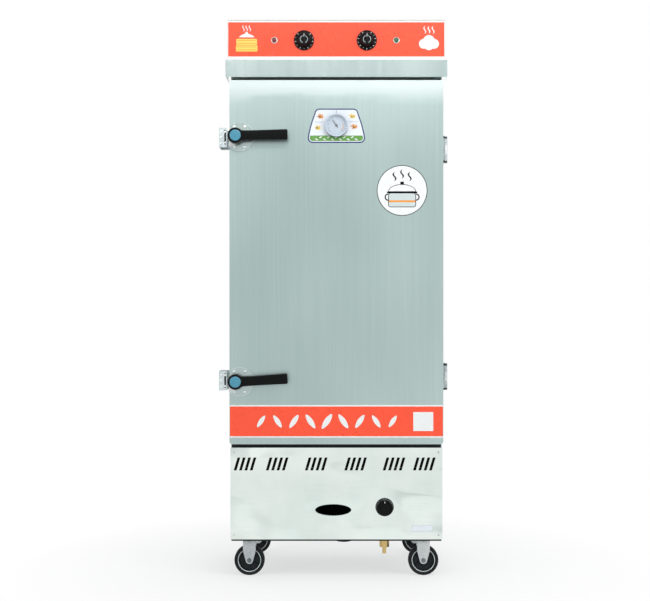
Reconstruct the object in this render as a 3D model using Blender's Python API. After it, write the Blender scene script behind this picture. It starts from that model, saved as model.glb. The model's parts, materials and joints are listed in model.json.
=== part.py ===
"""A rice steamer cabinet: an insulated steel cabinet on casters with one door.

Metres, +Z up, front towards -Y. The places below are written in the cabinet's own
coordinates: x from its middle, y from the front plane of its body, z from the floor.
One empty called cabinet carries everything, and it puts the origin of the scene
under the middle of the whole.
"""
import math

import bmesh
import bpy
from mathutils import Matrix, Vector

# Fits and sheet thicknesses
FIT = 0.0003
RUN = 0.0006
SHEET = 0.0012
LINER_SHEET = 0.0010
FLOOR_SHEET = 0.0030
FRAME_SHEET = 0.0015
PANEL_SHEET = 0.0020
OVERRUN = 0.010
WELD = 0.00001
SMOOTH_ANGLE = math.radians(35)

# Heights, one above the other from the floor
CASTER_HEIGHT = 0.1255
BASE_HEIGHT = 0.291
BASE_DOOR_GAP = 0.0125
DOOR_HEIGHT = 1.151
DOOR_HOOD_GAP = 0.008
HOOD_HEIGHT = 0.054
CONTROL_HEIGHT = 0.126

# Widths
HOOD_WIDTH = 0.700
HOOD_OVERHANG = 0.0135
BODY_WIDTH = HOOD_WIDTH - 2 * HOOD_OVERHANG
DOOR_OVERHANG = 0.0015
DOOR_WIDTH = BODY_WIDTH + 2 * DOOR_OVERHANG
CONTROL_INSET = 0.007
CONTROL_WIDTH = HOOD_WIDTH - 2 * CONTROL_INSET
SIDE_WALL = 0.0305
CHAMBER_WIDTH = BODY_WIDTH - 2 * SIDE_WALL
MOUTH_SIDE_BORDER = 0.0365

# Depths
CHAMBER_DEPTH = 0.495
FLUE_CLEARANCE = 0.006
FLUE_DEPTH = 0.033
REAR_CLEARANCE = 0.006
FLUE_FRONT = CHAMBER_DEPTH + FLUE_CLEARANCE
BODY_DEPTH = FLUE_FRONT + FLUE_DEPTH + REAR_CLEARANCE
DOOR_THICKNESS = 0.045
GASKET_THICKNESS = 0.008
HOOD_PROJECTION = 0.064
HOOD_RETURN = 0.060
HOOD_CORNER = 0.004
SKIRT_PROJECTION = 0.034
CONTROL_PROJECTION = 0.058
CONTROL_DEPTH = 0.240

# Levels and half widths that follow
BASE_BOTTOM = CASTER_HEIGHT
BASE_TOP = BASE_BOTTOM + BASE_HEIGHT
FLOOR_TOP = BASE_BOTTOM + FLOOR_SHEET
DOOR_BOTTOM = BASE_TOP + BASE_DOOR_GAP
DOOR_TOP = DOOR_BOTTOM + DOOR_HEIGHT
HOOD_BOTTOM = DOOR_TOP + DOOR_HOOD_GAP
HOOD_TOP = HOOD_BOTTOM + HOOD_HEIGHT
CABINET_TOP = HOOD_TOP + CONTROL_HEIGHT
BODY_TOP = HOOD_TOP - FRAME_SHEET - FIT
BODY_HALF = BODY_WIDTH / 2
DOOR_HALF = DOOR_WIDTH / 2
HOOD_HALF = HOOD_WIDTH / 2
INNER_HALF = BODY_HALF - SHEET - FIT
CHAMBER_HALF = CHAMBER_WIDTH / 2
DOOR_BACK = -(GASKET_THICKNESS + 2 * FIT)
DOOR_FRONT = DOOR_BACK - DOOR_THICKNESS
BACK_INSIDE = BODY_DEPTH - SHEET - FIT
SKIRT_INSIDE = SHEET + FIT - SKIRT_PROJECTION
FLOOR_MIDDLE = BASE_BOTTOM + FLOOR_SHEET / 2

# Chamber mouth, liner, water tank and the burner and gas levels under it
MOUTH_BOTTOM_BORDER = 0.030
MOUTH_TOP_BORDER = 0.030
MOUTH_HALF = BODY_HALF - MOUTH_SIDE_BORDER
MOUTH_BOTTOM = DOOR_BOTTOM + MOUTH_BOTTOM_BORDER
MOUTH_TOP = DOOR_TOP - MOUTH_TOP_BORDER
CHAMBER_TOP = MOUTH_TOP + 2 * LINER_SHEET
CHAMBER_FRONT = FRAME_SHEET + FIT
TANK_DEPTH = 0.110
TANK_BOTTOM = MOUTH_BOTTOM - TANK_DEPTH
BURNER_BELOW_TANK = 0.057
BURNER_TOP = TANK_BOTTOM - BURNER_BELOW_TANK
GAS_BELOW_BURNER = 0.064
GAS_LEVEL = BURNER_TOP - GAS_BELOW_BURNER

# Door details
DOOR_CORNER = 0.006
GASKET_INSET = 0.003
GASKET_WIDTH = 0.014

# Skirt: slanted vent slots, an oval viewing hole, the gas knob and a screw
VENT_PLACE_SHARES = (-0.86181, -0.55869, -0.19019, 0.18128, 0.54383, 0.82912)
VENT_PLACES = [share * BODY_HALF for share in VENT_PLACE_SHARES]
VENT_FROM_TOP = 0.0515
VENT_LEVEL = BASE_TOP - VENT_FROM_TOP
VENT_HEIGHT = 0.041
VENT_PITCH = 0.017
VENT_SLOT = 0.009
VENT_SLANT = 0.012
VENT_SLOTS = 4
OVAL_X = -0.010
OVAL_BELOW_GAS = 0.009
OVAL_LEVEL = GAS_LEVEL - OVAL_BELOW_GAS
OVAL_LENGTH = 0.114
OVAL_HEIGHT = 0.036

# Floor of the base: two air openings, holes for the gas inlet and the cable
AIR_LENGTH = 0.250
AIR_WIDTH = 0.180
AIR_X = 0.165
AIR_FRONT = 0.130

# Gas train
GAS_X = 0.153
GAS_Y = -0.005
VALVE_RADIUS = 0.016
VALVE_LENGTH = 0.050
GAS_KNOB_RADIUS = 0.0288
GAS_KNOB_DEPTH = 0.024
SPINDLE_RADIUS = 0.004
SPINDLE_HOLE = 0.006
PIPE_RADIUS = 0.006
PIPE_BEND = 0.040
INLET_HEX = 0.0155
INLET_TOP = 0.122
INLET_HEX_BOTTOM = 0.098
NIPPLE_BOTTOM = 0.077
NIPPLE_RADIUS = 0.0063
INLET_STUB = 0.008
INLET_HOLE = 0.0084
HEX = 6
BURNER_Y = 0.255
BURNER_RADIUS = 0.105
BURNER_HEAD = 0.034
BURNER_LIP = 0.012
PEDESTAL_RADIUS = 0.028
PEDESTAL_FOOT = 0.038
PEDESTAL_FOOT_HEIGHT = 0.006

# Electric heating tubes in the tank
HEATER_LOOPS = 3
HEATER_RADIUS = 0.005
HEATER_BEND = 0.030
HEATER_LEVEL = 0.034
HEATER_FRONT = 0.090
HEATER_FROM_REAR = 0.025
HEATER_BACK = CHAMBER_DEPTH - HEATER_FROM_REAR

# Junction box in the base and the cable that loops below it
JUNCTION_X = 0.024
JUNCTION_Y = 0.060
JUNCTION_LENGTH = 0.130
JUNCTION_DEPTH = 0.060
JUNCTION_HEIGHT = 0.040
CABLE_RADIUS = 0.004
CABLE_SPAN = 0.082
CABLE_LOW = 0.103
CABLE_HOLE = 0.007
CABLE_POINTS = 17
TAB_X = -0.010
TAB_WIDTH = 0.020
TAB_DROP = 0.014
TAB_SHEET = 0.003
TAB_Y = 0.040

# Flue and steam vent
FLUE_HALF = 0.110
FLUE_BELOW_TANK = 0.049
FLUE_BOTTOM = TANK_BOTTOM - FLUE_BELOW_TANK
FLUE_RISE = 0.030
VENT_PIPE_FROM_SIDE = 0.106
VENT_PIPE_X = CHAMBER_HALF - VENT_PIPE_FROM_SIDE
VENT_PIPE_FROM_REAR = 0.165
VENT_PIPE_Y = CHAMBER_DEPTH - VENT_PIPE_FROM_REAR
VENT_PIPE_RADIUS = 0.025
VENT_PIPE_WALL = 0.002
VENT_PIPE_RISE = 0.050
VENT_COLLAR = 0.042
VENT_COLLAR_SHEET = 0.003

# Racks and trays
RACK_LEVELS = 10
RACK_TOP_ROOM = 0.085
RACK_FIRST = 0.070
RACK_RISE = MOUTH_TOP - MOUTH_BOTTOM - RACK_FIRST - RACK_TOP_ROOM
RACK_PITCH = RACK_RISE / (RACK_LEVELS - 1)
UPRIGHT_WIDTH = 0.020
UPRIGHT_SHEET = 0.008
UPRIGHT_INSET = 0.060
RUNNER_SHORTER = 0.075
RUNNER_LENGTH = CHAMBER_DEPTH - RUNNER_SHORTER
RUNNER_START = 0.030
RUNNER_LEG = 0.016
RUNNER_SHEET = 0.0015
TRAY_LEVELS = (1, 4, 7)
TRAY_PLAY = 0.020
TRAY_DEPTH = RUNNER_LENGTH - TRAY_PLAY
TRAY_HEIGHT = 0.048
TRAY_RIM = 0.014
TRAY_SHEET = 0.0010
TRAY_SLACK = 0.0015

# Control box: lamps, knobs and what is behind them
CONTROL_RISE = 0.062
CONTROL_LEVEL = HOOD_TOP + CONTROL_RISE
THERMOSTAT_X = -0.102
TIMER_X = 0.096
DIAL_RADIUS = 0.0316
DIAL_SKIRT = 0.004
DIAL_BODY_RADIUS = 0.0215
DIAL_BODY_DEPTH = 0.018
DIAL_GRIP = 0.0045
DIAL_GRIP_RISE = 0.005
DIAL_FILLET = 0.002
DIAL_SHAFT = 0.003
DIAL_SHAFT_HOLE = 0.005
LAMP_RED_X = -0.1956
LAMP_GREEN_X = 0.189
LAMP_BEZEL = 0.0108
LAMP_BEZEL_DEPTH = 0.004
LAMP_LENS = 0.0082
LAMP_LENS_DEPTH = 0.004
LAMP_BARREL = 0.0080
LAMP_HOLE = 0.0084
LAMP_LENGTH = 0.035
THERMOSTAT_SIZE = 0.046
THERMOSTAT_LENGTH = 0.040
TIMER_RADIUS = 0.026
TIMER_LENGTH = 0.046

# Door latches
LATCH_FROM_EDGE = 0.021
LATCH_X = LATCH_FROM_EDGE - DOOR_HALF
LATCH_FROM_TOP = 0.1793
LATCH_FROM_FOOT = 0.1983
LATCH_LEVELS = (DOOR_TOP - LATCH_FROM_TOP, DOOR_BOTTOM + LATCH_FROM_FOOT)
LATCH_TILTS = (math.radians(-1.2), math.radians(-3.7))
LATCH_PLATE_RADIUS = 0.046
LATCH_PLATE_SHIFT = 0.0107
LATCH_PLATE_EDGE = 0.001
LATCH_PLATE_SHEET = 0.003
STUD_RADIUS = 0.006
STUD_HOLE = 0.007
CAM_SHEET = 0.007
CAM_OVERLAP = 0.001
CAM_ROOT = 0.016
CAM_NOSE = 0.008
CAM_REACH = 0.032
CAM_ANGLE = math.radians(60)
BOSS_RADIUS = 0.0246
BOSS_DEPTH = 0.030
BOSS_FILLET = 0.003
CAP_RADIUS = 0.0174
CAP_DEPTH = 0.006
CAP_CROWN = 0.002
LEVER_LENGTH = 0.1637
LEVER_ROOT_HALF = 0.0155
LEVER_END_HALF = 0.017
LEVER_THICKNESS = 0.013
LEVER_SETBACK = 0.004
LEVER_CORNER = 0.008

# Keepers on the left side of the body
KEEPER_SHIFT = 0.0037
KEEPER_LEVELS = (LATCH_LEVELS[0] - KEEPER_SHIFT, LATCH_LEVELS[1] + KEEPER_SHIFT)
KEEPER_HEIGHT = 0.062
KEEPER_REACH = 0.033
KEEPER_SHEET = 0.003
KEEPER_LIP = 0.0245
KEEPER_FOOT = 0.045
KEEPER_START = 0.002

# Hinges on the right side
HINGE_FROM_TOP = 0.218
HINGE_FROM_FOOT = 0.213
HINGE_LEVELS = (DOOR_TOP - HINGE_FROM_TOP, DOOR_BOTTOM + HINGE_FROM_FOOT)
HINGE_HEIGHT = 0.083
HINGE_MIDDLE = 0.030
HINGE_GAP = 0.0006
HINGE_RADIUS = 0.0068
HINGE_BORE = 0.0040
HINGE_PIN = 0.0035
HINGE_PIN_HEAD = 0.0055
HINGE_PIN_HEAD_HEIGHT = 0.002
HINGE_SHEET = 0.0030
HINGE_DOOR_GAP = 0.0005
HINGE_Y = -0.030
HINGE_BODY_LEAF = 0.060
HINGE_LEAF_GAP = 0.0007

# Thermometer on the door
DIAL_GAUGE_X = 0.0
DIAL_GAUGE_FROM_TOP = 0.144
DIAL_GAUGE_LEVEL = DOOR_TOP - DIAL_GAUGE_FROM_TOP
GAUGE_RADIUS = 0.0363
GAUGE_DEPTH = 0.014
GAUGE_INNER = 0.0310
GAUGE_SEAT = 0.0330
GAUGE_FLOOR = 0.004
GAUGE_LENS = 0.0020
GAUGE_LIP = 0.0015
GAUGE_STEM = 0.004
GAUGE_STEM_HOLE = 0.005
GAUGE_STEM_REACH = 0.030
NEEDLE_LENGTH = 0.026
NEEDLE_TAIL = 0.008
NEEDLE_HALF = 0.0014
NEEDLE_HUB = 0.0040
NEEDLE_SHEET = 0.0012
NEEDLE_TILT = math.radians(-35)

# Casters
WHEEL_RADIUS = 0.049
WHEEL_WIDTH = 0.030
WHEEL_CORNER = 0.004
WHEEL_DISH_OUTER = 0.0367
WHEEL_DISH_INNER = 0.014
WHEEL_DISH_DEPTH = 0.003
WHEEL_FROM_SIDE = 0.0565
WHEEL_X = BODY_HALF - WHEEL_FROM_SIDE
FRONT_WHEEL_Y = 0.045
REAR_WHEEL_FROM_BACK = 0.060
REAR_WHEEL_Y = BODY_DEPTH - REAR_WHEEL_FROM_BACK
AXLE_RADIUS = 0.0050
AXLE_BORE = 0.0056
AXLE_HEAD = 0.0090
AXLE_HEAD_HEIGHT = 0.005
FORK_SHEET = 0.0030
FORK_CLEARANCE = 0.0020
FORK_TOP_HALF = 0.0205
FORK_BOTTOM_HALF = 0.010
FORK_SHOULDER = 0.079
FORK_BOTTOM = 0.037
CASTER_PLATE_LENGTH = 0.096
CASTER_PLATE_WIDTH = 0.080
CASTER_PLATE_SHEET = 0.0035
TRAIL = 0.030
SWIVEL_BOSS = 0.020
SWIVEL_BOSS_HEIGHT = 0.006
KINGPIN_RADIUS = 0.006
KINGPIN_HOLE = 0.0066
KINGPIN_HEAD = 0.010
KINGPIN_HEAD_HEIGHT = 0.003
BRAKE_PIVOT = 0.052
BRAKE_LEVEL = 0.104
BRAKE_PIN = 0.003
BRAKE_PIN_HOLE = 0.0036
BRAKE_EYE = 0.0055
BRAKE_REACH = 0.044
BRAKE_SHEET = 0.004
BRAKE_EDGE = 0.006

# Smoothness of round pieces
FINE = 32
MEDIUM = 20
COARSE = 12

# The whole reaches further left and forward than the body, so its middle is off
REACH_LEFT = BODY_HALF + FIT + KEEPER_REACH
HINGE_X = DOOR_HALF + HINGE_DOOR_GAP + HINGE_RADIUS
REACH_RIGHT = HINGE_X + HINGE_RADIUS
LATCH_PLATE_FRONT = DOOR_FRONT - FIT - LATCH_PLATE_SHEET
CAM_FRONT = LATCH_PLATE_FRONT - RUN - CAM_SHEET
BOSS_FRONT = CAM_FRONT - FIT - BOSS_DEPTH
REACH_FRONT = CAP_CROWN - BOSS_FRONT
ORIGIN = Vector((0.0, 0.0, 0.0))
CABINET_PLACE = Vector(((REACH_LEFT - REACH_RIGHT) / 2, (REACH_FRONT - BODY_DEPTH) / 2, 0.0))

PANEL_BACK = -CONTROL_PROJECTION - FIT
PANEL_FRONT = PANEL_BACK - PANEL_SHEET
WHEEL_LEVEL = WHEEL_RADIUS * math.cos(math.pi / FINE)

# Colour, roughness and metallic value of each finish
FINISHES = {
    "brushed_steel": ((0.45, 0.48, 0.47), 0.36, 1.0),
    "bright_steel": ((0.62, 0.65, 0.66), 0.12, 1.0),
    "inner_steel": ((0.55, 0.56, 0.56), 0.30, 1.0),
    "zinc": ((0.58, 0.60, 0.62), 0.35, 1.0),
    "brass": ((0.62, 0.44, 0.17), 0.25, 1.0),
    "cast_iron": ((0.05, 0.05, 0.05), 0.60, 0.6),
    "red_panel": ((0.90, 0.12, 0.06), 0.30, 0.0),
    "black_plastic": ((0.02, 0.02, 0.02), 0.40, 0.0),
    "red_lens": ((0.45, 0.02, 0.01), 0.15, 0.0),
    "green_lens": ((0.02, 0.30, 0.08), 0.15, 0.0),
    "clear_glass": ((0.85, 0.88, 0.90), 0.05, 0.0),
    "needle_paint": ((0.02, 0.02, 0.03), 0.40, 0.0),
    "silicone": ((0.55, 0.55, 0.53), 0.55, 0.0),
    "rubber": ((0.03, 0.03, 0.03), 0.70, 0.0),
    "wool": ((0.70, 0.62, 0.40), 0.95, 0.0),
}


# Start from an empty scene, with one empty that carries the cabinet
def clear_scene():
    for old in list(bpy.data.objects):
        bpy.data.objects.remove(old, do_unlink=True)


def add_empty(name, place, holder=None, turn=(0.0, 0.0, 0.0)):
    empty = bpy.data.objects.new(name, None)
    bpy.context.collection.objects.link(empty)
    empty.parent = holder
    empty.location = place
    empty.rotation_euler = turn
    return empty


def finish_material(name):
    material = bpy.data.materials.get(name)
    if material:
        return material
    colour, roughness, metallic = FINISHES[name]
    material = bpy.data.materials.new(name)
    material.use_nodes = True
    shader = material.node_tree.nodes["Principled BSDF"]
    shader.inputs["Base Color"].default_value = (*colour, 1.0)
    shader.inputs["Roughness"].default_value = roughness
    shader.inputs["Metallic"].default_value = metallic
    return material


# Basic forms, each added to a bmesh in the cabinet's coordinates
def add_box(shape, low, high):
    middle = (Vector(low) + Vector(high)) / 2
    size = Vector(high) - Vector(low)
    place = Matrix.Translation(middle) @ Matrix.Diagonal((*size, 1.0))
    bmesh.ops.create_cube(shape, size=1.0, matrix=place)


def box(low, high):
    shape = bmesh.new()
    add_box(shape, low, high)
    return shape


def in_space(plane, across, up, along):
    """A point of an outline in the named plane, at a distance along its normal."""
    if plane == "XY":
        return (across, up, along)
    if plane == "XZ":
        return (across, along, up)
    return (along, across, up)


def add_prism(shape, outline, plane, start, end):
    """A flat outline extruded between two distances along its plane's normal."""
    first = [shape.verts.new(in_space(plane, a, b, start)) for a, b in outline]
    last = [shape.verts.new(in_space(plane, a, b, end)) for a, b in outline]
    shape.faces.new(first)
    shape.faces.new(list(reversed(last)))
    count = len(outline)
    for i in range(count):
        following = (i + 1) % count
        shape.faces.new((first[i], last[i], last[following], first[following]))


def prism(outline, plane, start, end):
    shape = bmesh.new()
    add_prism(shape, outline, plane, start, end)
    return shape


def add_turned(shape, profile, centre, axis="Z", steps=FINE, turn=0.0):
    """A profile of (radius, height) points turned round an axis through centre.

    A profile that starts and ends on the axis is solid; any other is a closed ring.
    """
    rings = []
    for radius, height in profile:
        if radius == 0:
            rings.append([turned_point(shape, 0.0, height, 0.0, centre, axis)])
            continue
        angles = [turn + 2 * math.pi * i / steps for i in range(steps)]
        rings.append([turned_point(shape, radius, height, a, centre, axis) for a in angles])
    pairs = list(zip(rings, rings[1:]))
    if profile[0][0] > 0:
        pairs.append((rings[-1], rings[0]))
    for lower, upper in pairs:
        bridge(shape, lower, upper, steps)


def turned_point(shape, radius, height, angle, centre, axis):
    across = radius * math.cos(angle)
    up = radius * math.sin(angle)
    offset = {"X": (height, across, up), "Y": (across, height, up), "Z": (across, up, height)}
    return shape.verts.new(Vector(centre) + Vector(offset[axis]))


def bridge(shape, lower, upper, steps):
    for i in range(steps):
        j = (i + 1) % steps
        if len(lower) == 1 and len(upper) == 1:
            return
        if len(lower) == 1:
            shape.faces.new((lower[0], upper[i], upper[j]))
        elif len(upper) == 1:
            shape.faces.new((lower[i], lower[j], upper[0]))
        else:
            shape.faces.new((lower[i], lower[j], upper[j], upper[i]))


def turned(profile, centre, axis="Z", steps=FINE, turn=0.0):
    shape = bmesh.new()
    add_turned(shape, profile, centre, axis, steps, turn)
    return shape


def rod_profile(radius, start, end):
    return [(0, start), (radius, start), (radius, end), (0, end)]


# Pieces and the tools that cut or join them
def store_mesh(name, shape, pivot):
    bmesh.ops.translate(shape, vec=-Vector(pivot), verts=shape.verts)
    bmesh.ops.recalc_face_normals(shape, faces=shape.faces)
    mesh = bpy.data.meshes.new(name)
    shape.to_mesh(mesh)
    shape.free()
    mesh.shade_smooth()
    mesh.set_sharp_from_angle(angle=SMOOTH_ANGLE)
    return mesh


def make(name, shape, finish, pivot=ORIGIN, holder=None):
    """A named piece; its origin is at pivot, or at the empty that holds it there."""
    piece = bpy.data.objects.new(name, store_mesh(name, shape, pivot))
    bpy.context.collection.objects.link(piece)
    piece.data.materials.append(finish_material(finish))
    piece.parent = holder or CABINET
    piece.location = ORIGIN if holder else pivot
    piece["pivot"] = tuple(pivot)
    return piece


def apply_tool(piece, shape, operation):
    """A hidden body that is cut from the piece, or joined to it."""
    tool = bpy.data.objects.new(piece.name + "_tool", store_mesh("tool", shape, piece["pivot"]))
    bpy.context.collection.objects.link(tool)
    tool.parent = piece
    tool.hide_render = True
    tool.display_type = "WIRE"
    modifier = piece.modifiers.new(operation.lower(), "BOOLEAN")
    modifier.operation = operation
    modifier.object = tool


def cut(piece, shape):
    apply_tool(piece, shape, "DIFFERENCE")


def join(piece, shape):
    apply_tool(piece, shape, "UNION")


def arc(centre, radius, start, end, steps):
    """Points of an arc from one angle to the other, both ends included."""
    angles = [start + (end - start) * i / steps for i in range(steps + 1)]
    return [(centre[0] + radius * math.cos(a), centre[1] + radius * math.sin(a)) for a in angles]


def ellipse(middle, length, height, steps):
    """A closed ellipse about a middle point."""
    turns = [2 * math.pi * i / steps for i in range(steps)]
    return [(middle[0] + length / 2 * math.cos(turn), middle[1] + height / 2 * math.sin(turn))
            for turn in turns]


def ring_plate(low, high, hole_low, hole_high, plane, start, end):
    """A rectangular plate with a rectangular hole, as one closed body."""
    shape = bmesh.new()
    corners = []
    for along in (start, end):
        for (left, bottom), (right, top) in ((low, high), (hole_low, hole_high)):
            outline = ((left, bottom), (right, bottom), (right, top), (left, top))
            corners.append([shape.verts.new(in_space(plane, a, b, along)) for a, b in outline])
    outer_start, inner_start, outer_end, inner_end = corners
    for first, second in ((outer_start, inner_start), (inner_start, inner_end),
                          (inner_end, outer_end), (outer_end, outer_start)):
        for i in range(len(first)):
            j = (i + 1) % len(first)
            shape.faces.new((first[i], first[j], second[j], second[i]))
    return shape


def tube_curve(name, route, radius, finish, smoothness=2):
    """A round tube along a list of points, with filled ends."""
    curve = bpy.data.curves.new(name, "CURVE")
    curve.dimensions = "3D"
    curve.bevel_depth = radius
    curve.bevel_resolution = smoothness
    curve.use_fill_caps = True
    line = curve.splines.new("POLY")
    line.points.add(len(route) - 1)
    for point, place in zip(line.points, route):
        point.co = (*place, 1.0)
    piece = bpy.data.objects.new(name, curve)
    bpy.context.collection.objects.link(piece)
    curve.materials.append(finish_material(finish))
    piece.parent = CABINET
    return piece


def join_curve(piece, route, radius):
    """Join a tube to a piece: the curve becomes a mesh, and then a hidden tool."""
    tube = tube_curve(piece.name + "_tube", route, radius, "brass")
    mesh = bpy.data.meshes.new_from_object(tube)
    shape = bmesh.new()
    shape.from_mesh(mesh)
    bmesh.ops.remove_doubles(shape, verts=shape.verts, dist=WELD)
    bpy.data.objects.remove(tube, do_unlink=True)
    join(piece, shape)


clear_scene()
CABINET = add_empty("cabinet", CABINET_PLACE)


# Casing: side and roof wrap, back, hood and base
def casing():
    outline = (
        (-BODY_HALF, BASE_BOTTOM), (-BODY_HALF, BODY_TOP), (BODY_HALF, BODY_TOP),
        (BODY_HALF, BASE_BOTTOM), (BODY_HALF - SHEET, BASE_BOTTOM),
        (BODY_HALF - SHEET, BODY_TOP - SHEET), (SHEET - BODY_HALF, BODY_TOP - SHEET),
        (SHEET - BODY_HALF, BASE_BOTTOM))
    wrap = make("outer_wrap", prism(outline, "XZ", 0.0, BODY_DEPTH), "brushed_steel")
    cut(wrap, vent_pipe_cutter())
    cut(wrap, flue_block(FIT))
    make("back_panel",
         box((-INNER_HALF, BODY_DEPTH - SHEET, BASE_BOTTOM),
             (INNER_HALF, BODY_DEPTH, BODY_TOP - SHEET - FIT)), "brushed_steel")


def hood_fascia():
    """The steel strip over the door: a shallow tray open below and behind."""
    outline = chamfered(HOOD_HALF, HOOD_BOTTOM, HOOD_TOP, HOOD_CORNER)
    hood = make("hood_fascia", prism(outline, "XZ", -HOOD_PROJECTION, HOOD_RETURN), "bright_steel")
    inside = HOOD_HALF - FRAME_SHEET
    cut(hood, box((-inside, FRAME_SHEET - HOOD_PROJECTION, HOOD_BOTTOM - OVERRUN),
                  (inside, HOOD_RETURN + OVERRUN, HOOD_TOP - FRAME_SHEET)))


def chamfered(half, bottom, top, corner):
    """A rectangle with its two lower corners cut off."""
    return ((-half, top), (-half, bottom + corner), (corner - half, bottom),
            (half - corner, bottom), (half, bottom + corner), (half, top))


def base_floor():
    floor = make("base_floor",
                 box((-INNER_HALF, SKIRT_INSIDE, BASE_BOTTOM), (INNER_HALF, BACK_INSIDE, FLOOR_TOP)),
                 "brushed_steel")
    join(floor, prism(((TAB_X - TAB_WIDTH / 2, FLOOR_MIDDLE), (TAB_X + TAB_WIDTH / 2, FLOOR_MIDDLE),
                       (TAB_X - TAB_WIDTH / 2, BASE_BOTTOM - TAB_DROP)),
                      "XZ", TAB_Y, TAB_Y + TAB_SHEET))
    holes = bmesh.new()
    for side in (-1, 1):
        middle = side * AIR_X
        add_box(holes, (middle - AIR_LENGTH / 2, AIR_FRONT, BASE_BOTTOM - OVERRUN),
                (middle + AIR_LENGTH / 2, AIR_FRONT + AIR_WIDTH, FLOOR_TOP + OVERRUN))
        add_turned(holes, rod_profile(CABLE_HOLE, BASE_BOTTOM - OVERRUN, FLOOR_TOP + OVERRUN),
                   (JUNCTION_X + side * CABLE_SPAN / 2, JUNCTION_Y, 0.0), "Z", COARSE)
    add_turned(holes, rod_profile(INLET_HOLE, BASE_BOTTOM - OVERRUN, FLOOR_TOP + OVERRUN),
               (GAS_X, GAS_Y, 0.0), "Z", COARSE)
    cut(floor, holes)


def skirt_panel():
    """The front of the base, bent back at its top and sides."""
    skirt = make("skirt_panel",
                 box((-BODY_HALF, -SKIRT_PROJECTION, BASE_BOTTOM), (BODY_HALF, -FIT, BASE_TOP)),
                 "bright_steel")
    inside = BODY_HALF - SHEET
    cut(skirt, box((-inside, SHEET - SKIRT_PROJECTION, BASE_BOTTOM - OVERRUN),
                   (inside, OVERRUN, BASE_TOP - SHEET)))
    holes = bmesh.new()
    for place in VENT_PLACES:
        for i in range(VENT_SLOTS):
            add_vent_slot(holes, place + (i - (VENT_SLOTS - 1) / 2) * VENT_PITCH)
    add_prism(holes, ellipse((OVAL_X, OVAL_LEVEL), OVAL_LENGTH, OVAL_HEIGHT, FINE),
              "XZ", -SKIRT_PROJECTION - OVERRUN, OVERRUN - SKIRT_PROJECTION)
    add_turned(holes, rod_profile(SPINDLE_HOLE, -SKIRT_PROJECTION - OVERRUN,
                                  OVERRUN - SKIRT_PROJECTION),
               (GAS_X, 0.0, GAS_LEVEL), "Y", COARSE)
    cut(skirt, holes)


def add_vent_slot(shape, middle):
    low = VENT_LEVEL - VENT_HEIGHT / 2
    high = VENT_LEVEL + VENT_HEIGHT / 2
    left = middle - VENT_SLOT / 2
    right = middle + VENT_SLOT / 2
    outline = ((left - VENT_SLANT / 2, low), (right - VENT_SLANT / 2, low),
               (right + VENT_SLANT / 2, high), (left + VENT_SLANT / 2, high))
    add_prism(shape, outline, "XZ", -SKIRT_PROJECTION - OVERRUN, OVERRUN - SKIRT_PROJECTION)


# Steam chamber: frame, liner, water tank and insulation
def chamber():
    make("front_frame",
         ring_plate((-INNER_HALF, BASE_TOP), (INNER_HALF, BODY_TOP - SHEET - FIT),
                    (-MOUTH_HALF, MOUTH_BOTTOM), (MOUTH_HALF, MOUTH_TOP), "XZ", 0.0, FRAME_SHEET),
         "brushed_steel")
    outside = CHAMBER_HALF + LINER_SHEET
    back = CHAMBER_DEPTH + LINER_SHEET
    liner = make("chamber_liner",
                 box((-outside, CHAMBER_FRONT, MOUTH_BOTTOM), (outside, back, CHAMBER_TOP + LINER_SHEET)),
                 "inner_steel")
    cut(liner, box((-CHAMBER_HALF, CHAMBER_FRONT - OVERRUN, MOUTH_BOTTOM - OVERRUN),
                   (CHAMBER_HALF, CHAMBER_DEPTH, CHAMBER_TOP)))
    cut(liner, vent_pipe_cutter())
    tank = make("water_tank",
                box((-outside, CHAMBER_FRONT, TANK_BOTTOM), (outside, back, MOUTH_BOTTOM - FIT)),
                "inner_steel")
    cut(tank, box((-CHAMBER_HALF, CHAMBER_FRONT + LINER_SHEET, TANK_BOTTOM + LINER_SHEET),
                  (CHAMBER_HALF, CHAMBER_DEPTH, MOUTH_BOTTOM + OVERRUN)))


def insulation():
    """One blanket between casing and chamber, open in front and below."""
    liner_side = CHAMBER_HALF + LINER_SHEET + FIT
    liner_back = CHAMBER_DEPTH + LINER_SHEET + FIT
    side = INNER_HALF - FIT
    wool = make("body_insulation",
                box((-side, CHAMBER_FRONT, BASE_TOP), (side, BACK_INSIDE, BODY_TOP - SHEET - FIT)),
                "wool")
    cut(wool, box((-liner_side, CHAMBER_FRONT - OVERRUN, BASE_TOP - OVERRUN),
                  (liner_side, liner_back, CHAMBER_TOP + LINER_SHEET + FIT)))
    cut(wool, box((-FLUE_HALF - FIT, liner_back - OVERRUN, BASE_TOP - OVERRUN),
                  (FLUE_HALF + FIT, BACK_INSIDE + OVERRUN, BODY_TOP + OVERRUN)))
    cut(wool, vent_pipe_cutter())


def vent_pipe_cutter():
    return turned(rod_profile(VENT_PIPE_RADIUS + FIT, CHAMBER_TOP - OVERRUN, BODY_TOP + OVERRUN),
                  (VENT_PIPE_X, VENT_PIPE_Y, 0.0))


def flue_block(grow):
    return box((-FLUE_HALF - grow, FLUE_FRONT - grow, FLUE_BOTTOM),
               (FLUE_HALF + grow, FLUE_FRONT + FLUE_DEPTH + grow, BODY_TOP + FLUE_RISE))


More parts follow.
